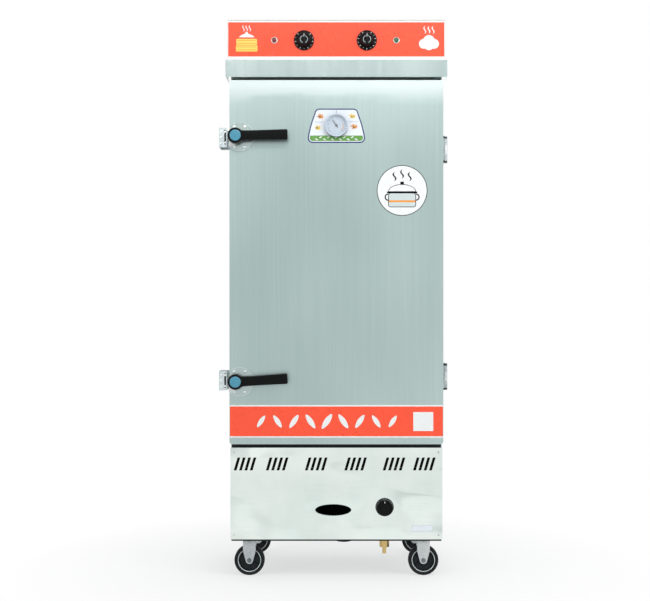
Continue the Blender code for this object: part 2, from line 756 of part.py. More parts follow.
def flue_and_vent():
    flue = make("flue_duct", flue_block(0.0), "inner_steel")
    cut(flue, box((LINER_SHEET - FLUE_HALF, FLUE_FRONT + LINER_SHEET, FLUE_BOTTOM - OVERRUN),
                  (FLUE_HALF - LINER_SHEET, FLUE_FRONT + FLUE_DEPTH - LINER_SHEET,
                   BODY_TOP + FLUE_RISE + OVERRUN)))
    collar = BODY_TOP + FIT
    inner = VENT_PIPE_RADIUS - VENT_PIPE_WALL
    profile = [(VENT_PIPE_RADIUS, CHAMBER_TOP), (VENT_PIPE_RADIUS, collar), (VENT_COLLAR, collar),
               (VENT_COLLAR, collar + VENT_COLLAR_SHEET),
               (VENT_PIPE_RADIUS, collar + VENT_COLLAR_SHEET),
               (VENT_PIPE_RADIUS, BODY_TOP + VENT_PIPE_RISE), (inner, BODY_TOP + VENT_PIPE_RISE),
               (inner, CHAMBER_TOP)]
    make("steam_vent", turned(profile, (VENT_PIPE_X, VENT_PIPE_Y, 0.0)), "inner_steel")


# Racks and trays
def rack_level(index):
    return MOUTH_BOTTOM + RACK_FIRST + index * RACK_PITCH


def racks():
    """On each side two uprights, with angle runners from chamber front to back."""
    wall = CHAMBER_HALF - FIT
    top = rack_level(RACK_LEVELS - 1) + RUNNER_LEG + UPRIGHT_WIDTH
    for side, name in ((-1, "left"), (1, "right")):
        posts = bmesh.new()
        runners = bmesh.new()
        across = sorted((side * wall, side * (wall - UPRIGHT_SHEET)))
        for middle in (RUNNER_START + UPRIGHT_INSET, RUNNER_START + RUNNER_LENGTH - UPRIGHT_INSET):
            add_box(posts, (across[0], middle - UPRIGHT_WIDTH / 2, MOUTH_BOTTOM + FIT),
                    (across[1], middle + UPRIGHT_WIDTH / 2, top))
        for index in range(RACK_LEVELS):
            add_runner(runners, side, rack_level(index))
        join(make("tray_rack_" + name, posts, "inner_steel"), runners)


def add_runner(shape, side, level):
    face = CHAMBER_HALF - FIT - UPRIGHT_SHEET
    let_in = face + RUNNER_SHEET / 2
    outline = ((let_in, level), (face - RUNNER_LEG, level),
               (face - RUNNER_LEG, level + RUNNER_SHEET), (face - RUNNER_SHEET, level + RUNNER_SHEET),
               (face - RUNNER_SHEET, level + RUNNER_LEG), (let_in, level + RUNNER_LEG))
    add_prism(shape, [(side * a, b) for a, b in outline], "XZ",
              RUNNER_START, RUNNER_START + RUNNER_LENGTH)


def trays():
    """Trays that hang by their rims on the runners."""
    face = CHAMBER_HALF - FIT - UPRIGHT_SHEET
    rim_half = face - RUNNER_SHEET - TRAY_SLACK
    body_half = face - RUNNER_LEG - TRAY_SLACK
    front = RUNNER_START + (RUNNER_LENGTH - TRAY_DEPTH) / 2
    back = front + TRAY_DEPTH
    for name, index in zip(("lower", "middle", "upper"), TRAY_LEVELS):
        under = rack_level(index) + RUNNER_SHEET + FIT
        top = under + TRAY_SHEET
        low = top - TRAY_HEIGHT
        tray = make("steam_tray_" + name, box((-rim_half, front, under), (rim_half, back, top)),
                    "inner_steel")
        join(tray, box((-body_half, front + TRAY_RIM, low),
                       (body_half, back - TRAY_RIM, under + TRAY_SHEET / 2)))
        cut(tray, box((TRAY_SHEET - body_half, front + TRAY_RIM + TRAY_SHEET, low + TRAY_SHEET),
                      (body_half - TRAY_SHEET, back - TRAY_RIM - TRAY_SHEET, top + OVERRUN)))


# Water and heat: an electric tube in the tank, a gas burner below it
def heating_tube():
    """One tube that winds from wall to front and back, both ends at the rear wall."""
    level = TANK_BOTTOM + HEATER_LEVEL
    wall = CHAMBER_DEPTH - FIT
    start = -HEATER_BEND * (2 * HEATER_LOOPS - 1)
    route = [(start, wall, level)]
    for loop in range(HEATER_LOOPS):
        middle = start + HEATER_BEND + loop * 4 * HEATER_BEND
        bend = arc((middle, HEATER_FRONT + HEATER_BEND), HEATER_BEND, math.pi, 2 * math.pi, COARSE // 2)
        route += [(a, b, level) for a, b in bend]
        if loop < HEATER_LOOPS - 1:
            bend = arc((middle + 2 * HEATER_BEND, HEATER_BACK - HEATER_BEND), HEATER_BEND,
                       math.pi, 0.0, COARSE // 2)
            route += [(a, b, level) for a, b in bend]
    route.append((-start, wall, level))
    tube_curve("heating_tube", route, HEATER_RADIUS, "inner_steel")


def gas_train():
    """Inlet and riser, tap with its pipe, and the burner at the end of the pipe."""
    valve_back = SKIRT_INSIDE + VALVE_LENGTH
    bend = arc((GAS_X - PIPE_BEND, BURNER_Y - PIPE_BEND), PIPE_BEND, 0.0, math.pi / 2, COARSE // 2)
    route = ([(GAS_X, valve_back - PIPE_RADIUS, GAS_LEVEL)] + [(a, b, GAS_LEVEL) for a, b in bend]
             + [(PEDESTAL_RADIUS + FIT, BURNER_Y, GAS_LEVEL)])
    valve = make("gas_tap", turned(rod_profile(VALVE_RADIUS, SKIRT_INSIDE, valve_back),
                                   (GAS_X, 0.0, GAS_LEVEL), "Y", MEDIUM), "brass")
    join_curve(valve, route, PIPE_RADIUS)
    inlet = make("gas_inlet", turned(rod_profile(INLET_HEX, INLET_HEX_BOTTOM, INLET_TOP),
                                     (GAS_X, GAS_Y, 0.0), "Z", HEX), "brass")
    join(inlet, turned([(0, NIPPLE_BOTTOM), (NIPPLE_RADIUS, NIPPLE_BOTTOM),
                        (NIPPLE_RADIUS, INLET_HEX_BOTTOM + FIT), (INLET_STUB, INLET_TOP - FIT),
                        (INLET_STUB, GAS_LEVEL - VALVE_RADIUS - FIT),
                        (0, GAS_LEVEL - VALVE_RADIUS - FIT)],
                       (GAS_X, GAS_Y, 0.0), "Z", COARSE))
    foot = FLOOR_TOP + FIT
    head = BURNER_TOP - BURNER_HEAD
    profile = [(0, foot), (PEDESTAL_FOOT, foot), (PEDESTAL_FOOT, foot + PEDESTAL_FOOT_HEIGHT),
               (PEDESTAL_RADIUS, foot + PEDESTAL_FOOT_HEIGHT), (PEDESTAL_RADIUS, head),
               (BURNER_RADIUS - BURNER_LIP, head), (BURNER_RADIUS, head + BURNER_LIP),
               (BURNER_RADIUS, BURNER_TOP - BURNER_LIP), (BURNER_RADIUS - BURNER_LIP, BURNER_TOP),
               (0, BURNER_TOP)]
    make("gas_burner", turned(profile, (0.0, BURNER_Y, 0.0)), "cast_iron")


def lower_wiring():
    """A junction box in the base, and its cable, which loops below the floor."""
    low = (JUNCTION_X - JUNCTION_LENGTH / 2, JUNCTION_Y - JUNCTION_DEPTH / 2, FLOOR_TOP + FIT)
    high = (JUNCTION_X + JUNCTION_LENGTH / 2, JUNCTION_Y + JUNCTION_DEPTH / 2,
            FLOOR_TOP + FIT + JUNCTION_HEIGHT)
    make("junction_box", box(low, high), "black_plastic")
    drop = BASE_BOTTOM - CABLE_LOW - CABLE_RADIUS
    loop = []
    for i in range(CABLE_POINTS):
        angle = math.pi * i / (CABLE_POINTS - 1)
        loop.append((JUNCTION_X - CABLE_SPAN / 2 * math.cos(angle), JUNCTION_Y,
                     BASE_BOTTOM - drop * math.sin(angle)))
    ends = [(JUNCTION_X + side * CABLE_SPAN / 2, JUNCTION_Y, FLOOR_TOP) for side in (-1, 1)]
    tube_curve("lower_cable", [ends[0]] + loop + [ends[1]], CABLE_RADIUS, "rubber")


# Control box with its panel, lamps and knobs
def control_box():
    low = HOOD_TOP + FIT
    back = CONTROL_DEPTH - CONTROL_PROJECTION
    half = CONTROL_WIDTH / 2
    shell = make("control_box", box((-half, -CONTROL_PROJECTION, low), (half, back, CABINET_TOP)),
                 "brushed_steel")
    cut(shell, box((SHEET - half, -CONTROL_PROJECTION - OVERRUN, low + SHEET),
                   (half - SHEET, back - SHEET, CABINET_TOP - SHEET)))
    panel = make("control_panel", box((-half, PANEL_FRONT, low), (half, PANEL_BACK, CABINET_TOP)),
                 "red_panel")
    holes = bmesh.new()
    for place, radius in ((LAMP_RED_X, LAMP_HOLE), (LAMP_GREEN_X, LAMP_HOLE),
                          (THERMOSTAT_X, DIAL_SHAFT_HOLE), (TIMER_X, DIAL_SHAFT_HOLE)):
        add_turned(holes, rod_profile(radius, PANEL_FRONT - OVERRUN, PANEL_BACK + OVERRUN),
                   (place, 0.0, CONTROL_LEVEL), "Y", MEDIUM)
    cut(panel, holes)


def behind_panel():
    front = PANEL_BACK + FIT
    half = THERMOSTAT_SIZE / 2
    make("thermostat",
         box((THERMOSTAT_X - half, front, CONTROL_LEVEL - half),
             (THERMOSTAT_X + half, front + THERMOSTAT_LENGTH, CONTROL_LEVEL + half)), "zinc")
    make("timer", turned(rod_profile(TIMER_RADIUS, front, front + TIMER_LENGTH),
                         (TIMER_X, 0.0, CONTROL_LEVEL), "Y", MEDIUM), "black_plastic")


def lamp(name, place, finish):
    """A pilot lamp: barrel through the panel, bezel in front and a lens on it."""
    seat = PANEL_FRONT - FIT
    bezel = seat - LAMP_BEZEL_DEPTH
    lens = bezel - LAMP_LENS_DEPTH
    profile = [(0, lens), (LAMP_LENS - LAMP_LENS_DEPTH / 2, lens), (LAMP_LENS, bezel),
               (LAMP_BEZEL, bezel), (LAMP_BEZEL, seat), (LAMP_BARREL, seat),
               (LAMP_BARREL, PANEL_FRONT + LAMP_LENGTH), (0, PANEL_FRONT + LAMP_LENGTH)]
    make(name, turned(profile, (place, 0.0, CONTROL_LEVEL), "Y", MEDIUM), finish)


def dial_knob(name, place):
    """A skirted knob with a raised grip, on a shaft through the panel."""
    back = PANEL_FRONT - RUN
    top = back - DIAL_BODY_DEPTH
    profile = [(0, PANEL_BACK), (DIAL_SHAFT, PANEL_BACK), (DIAL_SHAFT, back), (DIAL_RADIUS, back),
               (DIAL_RADIUS, back - DIAL_SKIRT + DIAL_FILLET),
               (DIAL_RADIUS - DIAL_FILLET, back - DIAL_SKIRT), (DIAL_BODY_RADIUS, back - DIAL_SKIRT),
               (DIAL_BODY_RADIUS - DIAL_FILLET / 2, top + DIAL_FILLET),
               (DIAL_BODY_RADIUS - DIAL_FILLET * 2, top), (0, top)]
    pivot = Vector((place, back, CONTROL_LEVEL))
    knob = make(name, turned(profile, (place, 0.0, CONTROL_LEVEL), "Y"), "black_plastic", pivot)
    reach = DIAL_BODY_RADIUS - DIAL_FILLET
    join(knob, box((place - DIAL_GRIP, top - DIAL_GRIP_RISE, CONTROL_LEVEL - reach),
                   (place + DIAL_GRIP, top + DIAL_FILLET, CONTROL_LEVEL + reach)))


def gas_knob():
    back = -SKIRT_PROJECTION - RUN
    front = back - GAS_KNOB_DEPTH
    profile = [(0, SHEET - SKIRT_PROJECTION), (SPINDLE_RADIUS, SHEET - SKIRT_PROJECTION),
               (SPINDLE_RADIUS, back), (GAS_KNOB_RADIUS, back),
               (GAS_KNOB_RADIUS - DIAL_FILLET, front + DIAL_FILLET),
               (GAS_KNOB_RADIUS - DIAL_FILLET * 2, front), (0, front)]
    make("gas_knob", turned(profile, (GAS_X, 0.0, GAS_LEVEL), "Y"), "black_plastic",
         Vector((GAS_X, back, GAS_LEVEL)))


# Door: two skins with insulation between, gasket, thermometer and latch plates
def door_outline(inset):
    return chamfered(DOOR_HALF - inset, DOOR_BOTTOM + inset, DOOR_TOP - inset, DOOR_CORNER)


def gauge_stem_cutter():
    return turned(rod_profile(GAUGE_STEM_HOLE, DOOR_FRONT - OVERRUN, OVERRUN),
                  (DIAL_GAUGE_X, 0.0, DIAL_GAUGE_LEVEL), "Y", COARSE)


def door():
    hinge = Vector((HINGE_X, HINGE_Y, 0.0))
    holder = add_empty("door", hinge, CABINET)
    outer = make("door_outer_skin", prism(door_outline(0.0), "XZ", DOOR_FRONT, DOOR_BACK),
                 "brushed_steel", hinge, holder)
    cut(outer, prism(door_outline(SHEET), "XZ", DOOR_FRONT + SHEET, DOOR_BACK + OVERRUN))
    inner_front = DOOR_BACK - LINER_SHEET
    inner = make("door_inner_skin", prism(door_outline(SHEET + FIT), "XZ", inner_front, DOOR_BACK),
                 "inner_steel", hinge, holder)
    wool = make("door_insulation", prism(door_outline(SHEET + FIT), "XZ", DOOR_FRONT + SHEET + FIT,
                                         inner_front - FIT), "wool", hinge, holder)
    for piece in (outer, inner, wool):
        cut(piece, gauge_stem_cutter())
    near = GASKET_INSET
    far = GASKET_INSET + GASKET_WIDTH
    make("door_gasket",
         ring_plate((-MOUTH_HALF - far, MOUTH_BOTTOM - far), (MOUTH_HALF + far, MOUTH_TOP + far),
                    (-MOUTH_HALF - near, MOUTH_BOTTOM - near), (MOUTH_HALF + near, MOUTH_TOP + near),
                    "XZ", DOOR_BACK + FIT, -FIT), "silicone", hinge, holder)
    door_thermometer(hinge, holder)
    for name, level, tilt in zip(("upper", "lower"), LATCH_LEVELS, LATCH_TILTS):
        latch_plate(name, level, hinge, holder)
        latch(name, level, tilt, hinge, holder)
    return hinge, holder


def door_thermometer(hinge, holder):
    """A dial in a cup, its stem through the door; lens and needle are separate."""
    centre = (DIAL_GAUGE_X, 0.0, DIAL_GAUGE_LEVEL)
    back = DOOR_FRONT - FIT
    front = back - GAUGE_DEPTH
    seat = front + GAUGE_LIP + GAUGE_LENS
    floor = back - GAUGE_FLOOR
    stem_end = DOOR_BACK + GAUGE_STEM_REACH
    profile = [(0, stem_end), (GAUGE_STEM, stem_end), (GAUGE_STEM, back), (GAUGE_RADIUS, back),
               (GAUGE_RADIUS, front), (GAUGE_SEAT, front), (GAUGE_SEAT, seat), (GAUGE_INNER, seat),
               (GAUGE_INNER, floor), (0, floor)]
    make("thermometer_case", turned(profile, centre, "Y"), "bright_steel", hinge, holder)
    make("thermometer_lens", turned(rod_profile(GAUGE_SEAT - FIT, front + GAUGE_LIP, seat - FIT),
                                    centre, "Y"), "clear_glass", hinge, holder)
    low = floor - RUN
    high = low - NEEDLE_SHEET
    pivot = Vector((DIAL_GAUGE_X, low, DIAL_GAUGE_LEVEL))
    swing = add_empty("needle_axis", pivot - hinge, holder, (0.0, NEEDLE_TILT, 0.0))
    blade = [(-NEEDLE_HALF, -NEEDLE_TAIL), (NEEDLE_HALF, -NEEDLE_TAIL),
             (NEEDLE_HALF, NEEDLE_LENGTH / 2), (0, NEEDLE_LENGTH), (-NEEDLE_HALF, NEEDLE_LENGTH / 2)]
    placed = [(DIAL_GAUGE_X + a, DIAL_GAUGE_LEVEL + b) for a, b in blade]
    needle = make("thermometer_needle", prism(placed, "XZ", high, low), "needle_paint", pivot, swing)
    join(needle, turned(rod_profile(NEEDLE_HUB, high - NEEDLE_SHEET / 2, low + RUN / 2), centre,
                        "Y", COARSE))


def latch_plate(name, level, hinge, holder):
    """The round plate under a latch, cut straight at the door's edge, with its stud."""
    edge = LATCH_PLATE_EDGE - DOOR_HALF
    ring = arc((LATCH_X + LATCH_PLATE_SHIFT, level), LATCH_PLATE_RADIUS, 0.0, 2 * math.pi, FINE)
    outline = [(max(a, edge), b) for a, b in ring[:-1]]
    plate = make("latch_plate_" + name, prism(outline, "XZ", LATCH_PLATE_FRONT, DOOR_FRONT - FIT),
                 "bright_steel", hinge, holder)
    join(plate, turned(rod_profile(STUD_RADIUS, BOSS_FRONT + CAP_DEPTH + RUN,
                                   LATCH_PLATE_FRONT + LATCH_PLATE_SHEET / 2),
                       (LATCH_X, 0.0, level), "Y", COARSE))


def latch(name, level, tilt, hinge, holder):
    """The moving half of a latch: a lever whose capped boss ends in a cam behind."""
    pivot = Vector((LATCH_X, CAM_FRONT, level))
    centre = (LATCH_X, 0.0, level)
    swing = add_empty("latch_" + name, pivot - hinge, holder, (0.0, tilt, 0.0))
    back = CAM_FRONT + CAM_SHEET
    cap_rim = BOSS_FRONT - CAP_CROWN / 2
    profile = [(STUD_HOLE, back), (CAM_ROOT, back), (CAM_ROOT, CAM_FRONT), (BOSS_RADIUS, CAM_FRONT),
               (BOSS_RADIUS, BOSS_FRONT + BOSS_FILLET), (BOSS_RADIUS - BOSS_FILLET, BOSS_FRONT),
               (CAP_RADIUS, BOSS_FRONT), (CAP_RADIUS, cap_rim),
               (CAP_RADIUS - CAP_CROWN, BOSS_FRONT - CAP_CROWN), (0, BOSS_FRONT - CAP_CROWN)]
    blind = BOSS_FRONT + CAP_DEPTH
    profile = [(0, blind), (STUD_HOLE, blind)] + profile
    handle = make("latch_handle_" + name, turned(profile, centre, "Y"), "black_plastic", pivot, swing)
    join(handle, prism(lever_outline(level), "XZ", BOSS_FRONT + LEVER_SETBACK,
                       BOSS_FRONT + LEVER_SETBACK + LEVER_THICKNESS))
    join(handle, prism(cam_outline(level), "XZ", CAM_FRONT - CAM_OVERLAP, back))
    cut(handle, turned(rod_profile(STUD_HOLE, blind, DOOR_FRONT), centre, "Y", COARSE))


def cam_outline(level):
    """A drop shape: a round root at the stud and a small nose, joined by tangents."""
    direction = math.pi + CAM_ANGLE
    spread = math.acos((CAM_ROOT - CAM_NOSE) / CAM_REACH)
    nose = (LATCH_X + CAM_REACH * math.cos(direction), level + CAM_REACH * math.sin(direction))
    tip = arc(nose, CAM_NOSE, direction - spread, direction + spread, COARSE // 2)
    root = arc((LATCH_X, level), CAM_ROOT, direction + spread, direction + 2 * math.pi - spread, COARSE)
    return tip + root


def lever_outline(level):
    """The lever seen from the front, with rounded outer corners."""
    start = LATCH_X + CAP_RADIUS + BOSS_FILLET
    end = LATCH_X + LEVER_LENGTH - LEVER_CORNER
    reach = LEVER_END_HALF - LEVER_CORNER
    low = arc((end, level - reach), LEVER_CORNER, -math.pi / 2, 0.0, COARSE // 4)
    high = arc((end, level + reach), LEVER_CORNER, 0.0, math.pi / 2, COARSE // 4)
    return [(start, level - LEVER_ROOT_HALF)] + low + high + [(start, level + LEVER_ROOT_HALF)]


def keepers():
    """Bent strips on the left side, open towards the door, that take the cams."""
    side = -BODY_HALF - FIT
    outer = side - KEEPER_REACH
    lip_back = CAM_FRONT - CAM_OVERLAP - RUN
    sheet = KEEPER_SHEET
    outline = (
        (side, KEEPER_START + KEEPER_FOOT), (side, KEEPER_START), (outer + sheet, KEEPER_START),
        (outer + sheet, lip_back), (outer + KEEPER_LIP, lip_back),
        (outer + KEEPER_LIP, lip_back - sheet), (outer, lip_back - sheet),
        (outer, KEEPER_START + sheet), (side - sheet, KEEPER_START + sheet),
        (side - sheet, KEEPER_START + KEEPER_FOOT))
    for name, level in zip(("upper", "lower"), KEEPER_LEVELS):
        make("latch_keeper_" + name,
             prism(outline, "XY", level - KEEPER_HEIGHT / 2, level + KEEPER_HEIGHT / 2), "zinc")


# Hinges: a body leaf with the pin and a door leaf with two knuckles
def hinge_pair(name, level, hinge, holder):
    low = level - HINGE_HEIGHT / 2
    high = level + HINGE_HEIGHT / 2
    inner_low = level - HINGE_MIDDLE / 2
    inner_high = level + HINGE_MIDDLE / 2
    left = HINGE_X - HINGE_RADIUS + HINGE_LEAF_GAP
    right = left + HINGE_SHEET
    clear = HINGE_RADIUS + HINGE_GAP
    axis = (HINGE_X, HINGE_Y, 0.0)
    body_leaf = make("hinge_body_leaf_" + name,
                     prism(((left, HINGE_Y + clear), (right, HINGE_Y + clear),
                            (right, KEEPER_START + HINGE_BODY_LEAF),
                            (BODY_HALF + FIT, KEEPER_START + HINGE_BODY_LEAF),
                            (BODY_HALF + FIT, KEEPER_START), (left, KEEPER_START)),
                           "XY", low, high), "zinc")
    join(body_leaf, box((left + FIT, HINGE_Y, inner_low + FIT),
                        (right - FIT, HINGE_Y + clear * 2, inner_high - FIT)))
    head = high + FIT
    pin = [(0, low), (HINGE_PIN, low), (HINGE_PIN, inner_low), (HINGE_RADIUS, inner_low),
           (HINGE_RADIUS, inner_high), (HINGE_PIN, inner_high), (HINGE_PIN, head),
           (HINGE_PIN_HEAD, head), (HINGE_PIN_HEAD, head + HINGE_PIN_HEAD_HEIGHT),
           (0, head + HINGE_PIN_HEAD_HEIGHT)]
    join(body_leaf, turned(pin, axis, "Z", MEDIUM))
    door_leaf = make("hinge_door_leaf_" + name,
                     box((DOOR_HALF + FIT, DOOR_FRONT + HINGE_SHEET, low),
                         (right, HINGE_Y - clear, high)), "zinc", hinge, holder)
    for start, end in ((low, inner_low - HINGE_GAP), (inner_high + HINGE_GAP, high)):
        join(door_leaf, box((left + FIT, HINGE_Y - clear * 2, start + FIT),
                            (right - FIT, HINGE_Y, end - FIT)))
        join(door_leaf, turned(rod_profile(HINGE_RADIUS, start, end), axis, "Z", MEDIUM))
    cut(door_leaf, turned(rod_profile(HINGE_BORE, low - OVERRUN, high + OVERRUN), axis, "Z", MEDIUM))


# Casters: two fixed at the front, two that swivel and brake at the rear
def wheel(name, place, holder):
    """A moulded wheel, dished between hub and tread; its lowest facet is level."""
    half = WHEEL_WIDTH / 2
    dish = half - WHEEL_DISH_DEPTH
    face = [(AXLE_BORE, -half), (WHEEL_DISH_INNER, -half), (WHEEL_DISH_INNER, -dish),
            (WHEEL_DISH_OUTER, -dish), (WHEEL_DISH_OUTER, -half),
            (WHEEL_RADIUS - WHEEL_CORNER, -half), (WHEEL_RADIUS, WHEEL_CORNER - half)]
    profile = face + [(radius, -height) for radius, height in reversed(face)]
    make(name, turned(profile, place, "Y", FINE, math.pi / FINE), "rubber", place, holder)


def axle_profile(half):
    """A bolt along the axle, with a head and a nut outside the cheeks."""
    end = half + AXLE_HEAD_HEIGHT
    return [(0, -end), (AXLE_HEAD, -end), (AXLE_HEAD, -half), (AXLE_RADIUS, -half),
            (AXLE_RADIUS, half), (AXLE_HEAD, half), (AXLE_HEAD, end), (0, end)]


def cheek_places(middle):
    """The y range of the two fork cheeks beside a wheel."""
    inner = WHEEL_WIDTH / 2 + FORK_CLEARANCE
    outer = inner + FORK_SHEET
    return ((middle - outer, middle - inner), (middle + inner, middle + outer))


def front_caster(name, side):
    """A fixed fork with its plate and axle, and the wheel on it."""
    top = BASE_BOTTOM - FIT
    plate_under = top - CASTER_PLATE_SHEET
    outer = WHEEL_WIDTH / 2 + FORK_CLEARANCE + FORK_SHEET
    middle = side * WHEEL_X
    fork = make("front_fork_" + name,
                box((middle - CASTER_PLATE_LENGTH / 2, FRONT_WHEEL_Y - CASTER_PLATE_WIDTH / 2, plate_under),
                    (middle + CASTER_PLATE_LENGTH / 2, FRONT_WHEEL_Y + CASTER_PLATE_WIDTH / 2, top)),
                "zinc")
    half_outline = ((FORK_TOP_HALF, plate_under + CASTER_PLATE_SHEET / 2),
                    (FORK_TOP_HALF, FORK_SHOULDER), (FORK_BOTTOM_HALF, FORK_BOTTOM))
    outline = ([(middle + a, b) for a, b in half_outline]
               + [(middle - a, b) for a, b in reversed(half_outline)])
    for start, end in cheek_places(FRONT_WHEEL_Y):
        join(fork, prism(outline, "XZ", start, end))
    centre = Vector((middle, FRONT_WHEEL_Y, WHEEL_LEVEL))
    join(fork, turned(axle_profile(outer), centre, "Y", MEDIUM))
    wheel("wheel_front_" + name, centre, add_empty("wheel_front_" + name + "_axis", centre, CABINET))


def rear_caster(name, side):
    """A top plate with its kingpin, and the fork that swivels on it."""
    plate_under = BASE_BOTTOM - FIT - CASTER_PLATE_SHEET
    boss_under = plate_under - SWIVEL_BOSS_HEIGHT
    web_top = boss_under - RUN
    web_under = web_top - FORK_SHEET
    head_top = web_under - RUN
    inside_plate = plate_under + CASTER_PLATE_SHEET / 2
    profile = [(0, inside_plate), (SWIVEL_BOSS, inside_plate),
               (SWIVEL_BOSS, boss_under), (KINGPIN_RADIUS, boss_under), (KINGPIN_RADIUS, head_top),
               (KINGPIN_HEAD, head_top), (KINGPIN_HEAD, head_top - KINGPIN_HEAD_HEIGHT),
               (0, head_top - KINGPIN_HEAD_HEIGHT)]
    middle = side * (WHEEL_X - TRAIL)
    plate = make("rear_caster_plate_" + name,
                 box((middle - CASTER_PLATE_LENGTH / 2, REAR_WHEEL_Y - CASTER_PLATE_WIDTH / 2,
                      plate_under),
                     (middle + CASTER_PLATE_LENGTH / 2, REAR_WHEEL_Y + CASTER_PLATE_WIDTH / 2,
                      BASE_BOTTOM - FIT)), "zinc")
    join(plate, turned(profile, (middle, REAR_WHEEL_Y, 0.0), "Z", MEDIUM))
    rear_fork(name, side, middle, web_top, web_under)


def rear_fork(name, side, middle, web_top, web_under):
    """A swivelling fork; its wheel trails outwards, with a brake pedal above it."""
    pivot = Vector((middle, REAR_WHEEL_Y, web_top))
    swing = add_empty("caster_rear_" + name, pivot, CABINET)
    outer = WHEEL_WIDTH / 2 + FORK_CLEARANCE + FORK_SHEET
    tail = TRAIL + FORK_BOTTOM_HALF
    nose = BRAKE_PIVOT + BRAKE_EDGE
    outline = ((-FORK_TOP_HALF, web_top), (tail, web_top), (nose, BRAKE_LEVEL + BRAKE_EDGE),
               (nose, BRAKE_LEVEL - BRAKE_EDGE), (tail, FORK_BOTTOM),
               (TRAIL - FORK_BOTTOM_HALF, FORK_BOTTOM), (-FORK_TOP_HALF, FORK_SHOULDER))
    cheeks = bmesh.new()
    for start, end in cheek_places(REAR_WHEEL_Y):
        add_prism(cheeks, [(middle + side * a, b) for a, b in outline], "XZ", start, end)
    fork = make("rear_fork_" + name, cheeks, "zinc", pivot, swing)
    across = sorted((middle - side * FORK_TOP_HALF, middle + side * tail))
    inner = WHEEL_WIDTH / 2 + FORK_CLEARANCE + FORK_SHEET / 2
    join(fork, box((across[0], REAR_WHEEL_Y - inner, web_under),
                   (across[1], REAR_WHEEL_Y + inner, web_top)))
    cut(fork, turned(rod_profile(KINGPIN_HOLE, web_under - OVERRUN, web_top + OVERRUN),
                     (middle, REAR_WHEEL_Y, 0.0), "Z", MEDIUM))
    hub = Vector((middle + side * TRAIL, REAR_WHEEL_Y, WHEEL_LEVEL))
    join(fork, turned(axle_profile(outer), hub, "Y", MEDIUM))
    brake = Vector((middle + side * BRAKE_PIVOT, REAR_WHEEL_Y, BRAKE_LEVEL))
    cut(fork, turned(rod_profile(BRAKE_PIN_HOLE, -outer - OVERRUN, outer + OVERRUN), brake, "Y", COARSE))
    wheel("wheel_rear_" + name, hub, add_empty("wheel_rear_" + name + "_axis", hub - pivot, swing))
    treadle = add_empty("brake_" + name + "_axis", brake - pivot, swing)
    across = sorted((brake.x, brake.x + side * BRAKE_REACH))
    width = WHEEL_WIDTH / 2 + FORK_CLEARANCE - RUN
    pedal = make("brake_pedal_" + name,
                 box((across[0], REAR_WHEEL_Y - width, BRAKE_LEVEL - BRAKE_SHEET / 2),
                     (across[1], REAR_WHEEL_Y + width, BRAKE_LEVEL + BRAKE_SHEET / 2)),
                 "black_plastic", brake, treadle)
    join(pedal, turned(rod_profile(BRAKE_EYE, -width + FIT, width - FIT), brake, "Y", COARSE))
    join(pedal, turned(rod_profile(BRAKE_PIN, -outer, outer), brake, "Y", COARSE))


casing()
hood_fascia()
base_floor()
skirt_panel()
chamber()
insulation()
flue_and_vent()
racks()
trays()
heating_tube()
gas_train()
lower_wiring()
control_box()
behind_panel()
lamp("lamp_red", LAMP_RED_X, "red_lens")
lamp("lamp_green", LAMP_GREEN_X, "green_lens")
dial_knob("thermostat_knob", THERMOSTAT_X)
dial_knob("timer_knob", TIMER_X)
gas_knob()
keepers()
HINGE_PLACE, DOOR_HOLDER = door()
for hinge_name, hinge_level in zip(("upper", "lower"), HINGE_LEVELS):
    hinge_pair(hinge_name, hinge_level, HINGE_PLACE, DOOR_HOLDER)
for side_name, side_sign in (("left", -1), ("right", 1)):
    front_caster(side_name, side_sign)
    rear_caster(side_name, side_sign)
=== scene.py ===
# %% [markdown]
# A rice steamer cabinet, dressed for its picture. The solids of the cabinet are already measured
# and moving; this file gives them their finishes and adds what is too fine for a solid: films,
# prints, screws, knobs. The solids are loaded first, because every new piece is placed by
# them, and their reach is noted so that nothing added here makes the cabinet larger.

import json
import math
import random

import bmesh
import bpy
from mathutils import Matrix, Vector


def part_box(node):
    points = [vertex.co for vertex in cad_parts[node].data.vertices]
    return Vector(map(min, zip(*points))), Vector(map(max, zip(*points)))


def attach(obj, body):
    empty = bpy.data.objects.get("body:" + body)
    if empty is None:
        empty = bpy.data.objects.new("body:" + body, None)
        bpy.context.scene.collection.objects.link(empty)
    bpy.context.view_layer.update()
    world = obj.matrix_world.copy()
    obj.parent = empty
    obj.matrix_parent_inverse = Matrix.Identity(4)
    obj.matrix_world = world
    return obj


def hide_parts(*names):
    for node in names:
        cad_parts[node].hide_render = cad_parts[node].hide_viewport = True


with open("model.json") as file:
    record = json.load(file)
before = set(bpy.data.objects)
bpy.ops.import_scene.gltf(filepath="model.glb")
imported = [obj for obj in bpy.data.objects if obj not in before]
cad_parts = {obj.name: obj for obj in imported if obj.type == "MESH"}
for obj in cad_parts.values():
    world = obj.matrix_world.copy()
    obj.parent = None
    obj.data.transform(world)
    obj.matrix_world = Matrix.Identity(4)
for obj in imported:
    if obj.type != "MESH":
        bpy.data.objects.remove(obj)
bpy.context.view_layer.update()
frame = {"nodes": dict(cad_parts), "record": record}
SLOTS = {part["node"]: part["material_slot"] for part in frame["record"]["subparts"]}

# %% [markdown]
# Two places are measured on the solids. The cabinet's middle is off the origin because the
# keepers reach further out on one side than the hinges do on the other. All lengths are metres.

# %% Where things are
door_low, door_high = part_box("door_outer_skin")
hood_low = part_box("hood_fascia")[0]
panel_low, panel_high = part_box("control_panel")
skirt_low, skirt_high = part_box("skirt_panel")
body_low, body_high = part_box("outer_wrap")
MIDDLE = (door_low.x + door_high.x) / 2
HAIR = 0.0003
print("middle", round(MIDDLE, 5), "door front", round(door_low.y, 5))

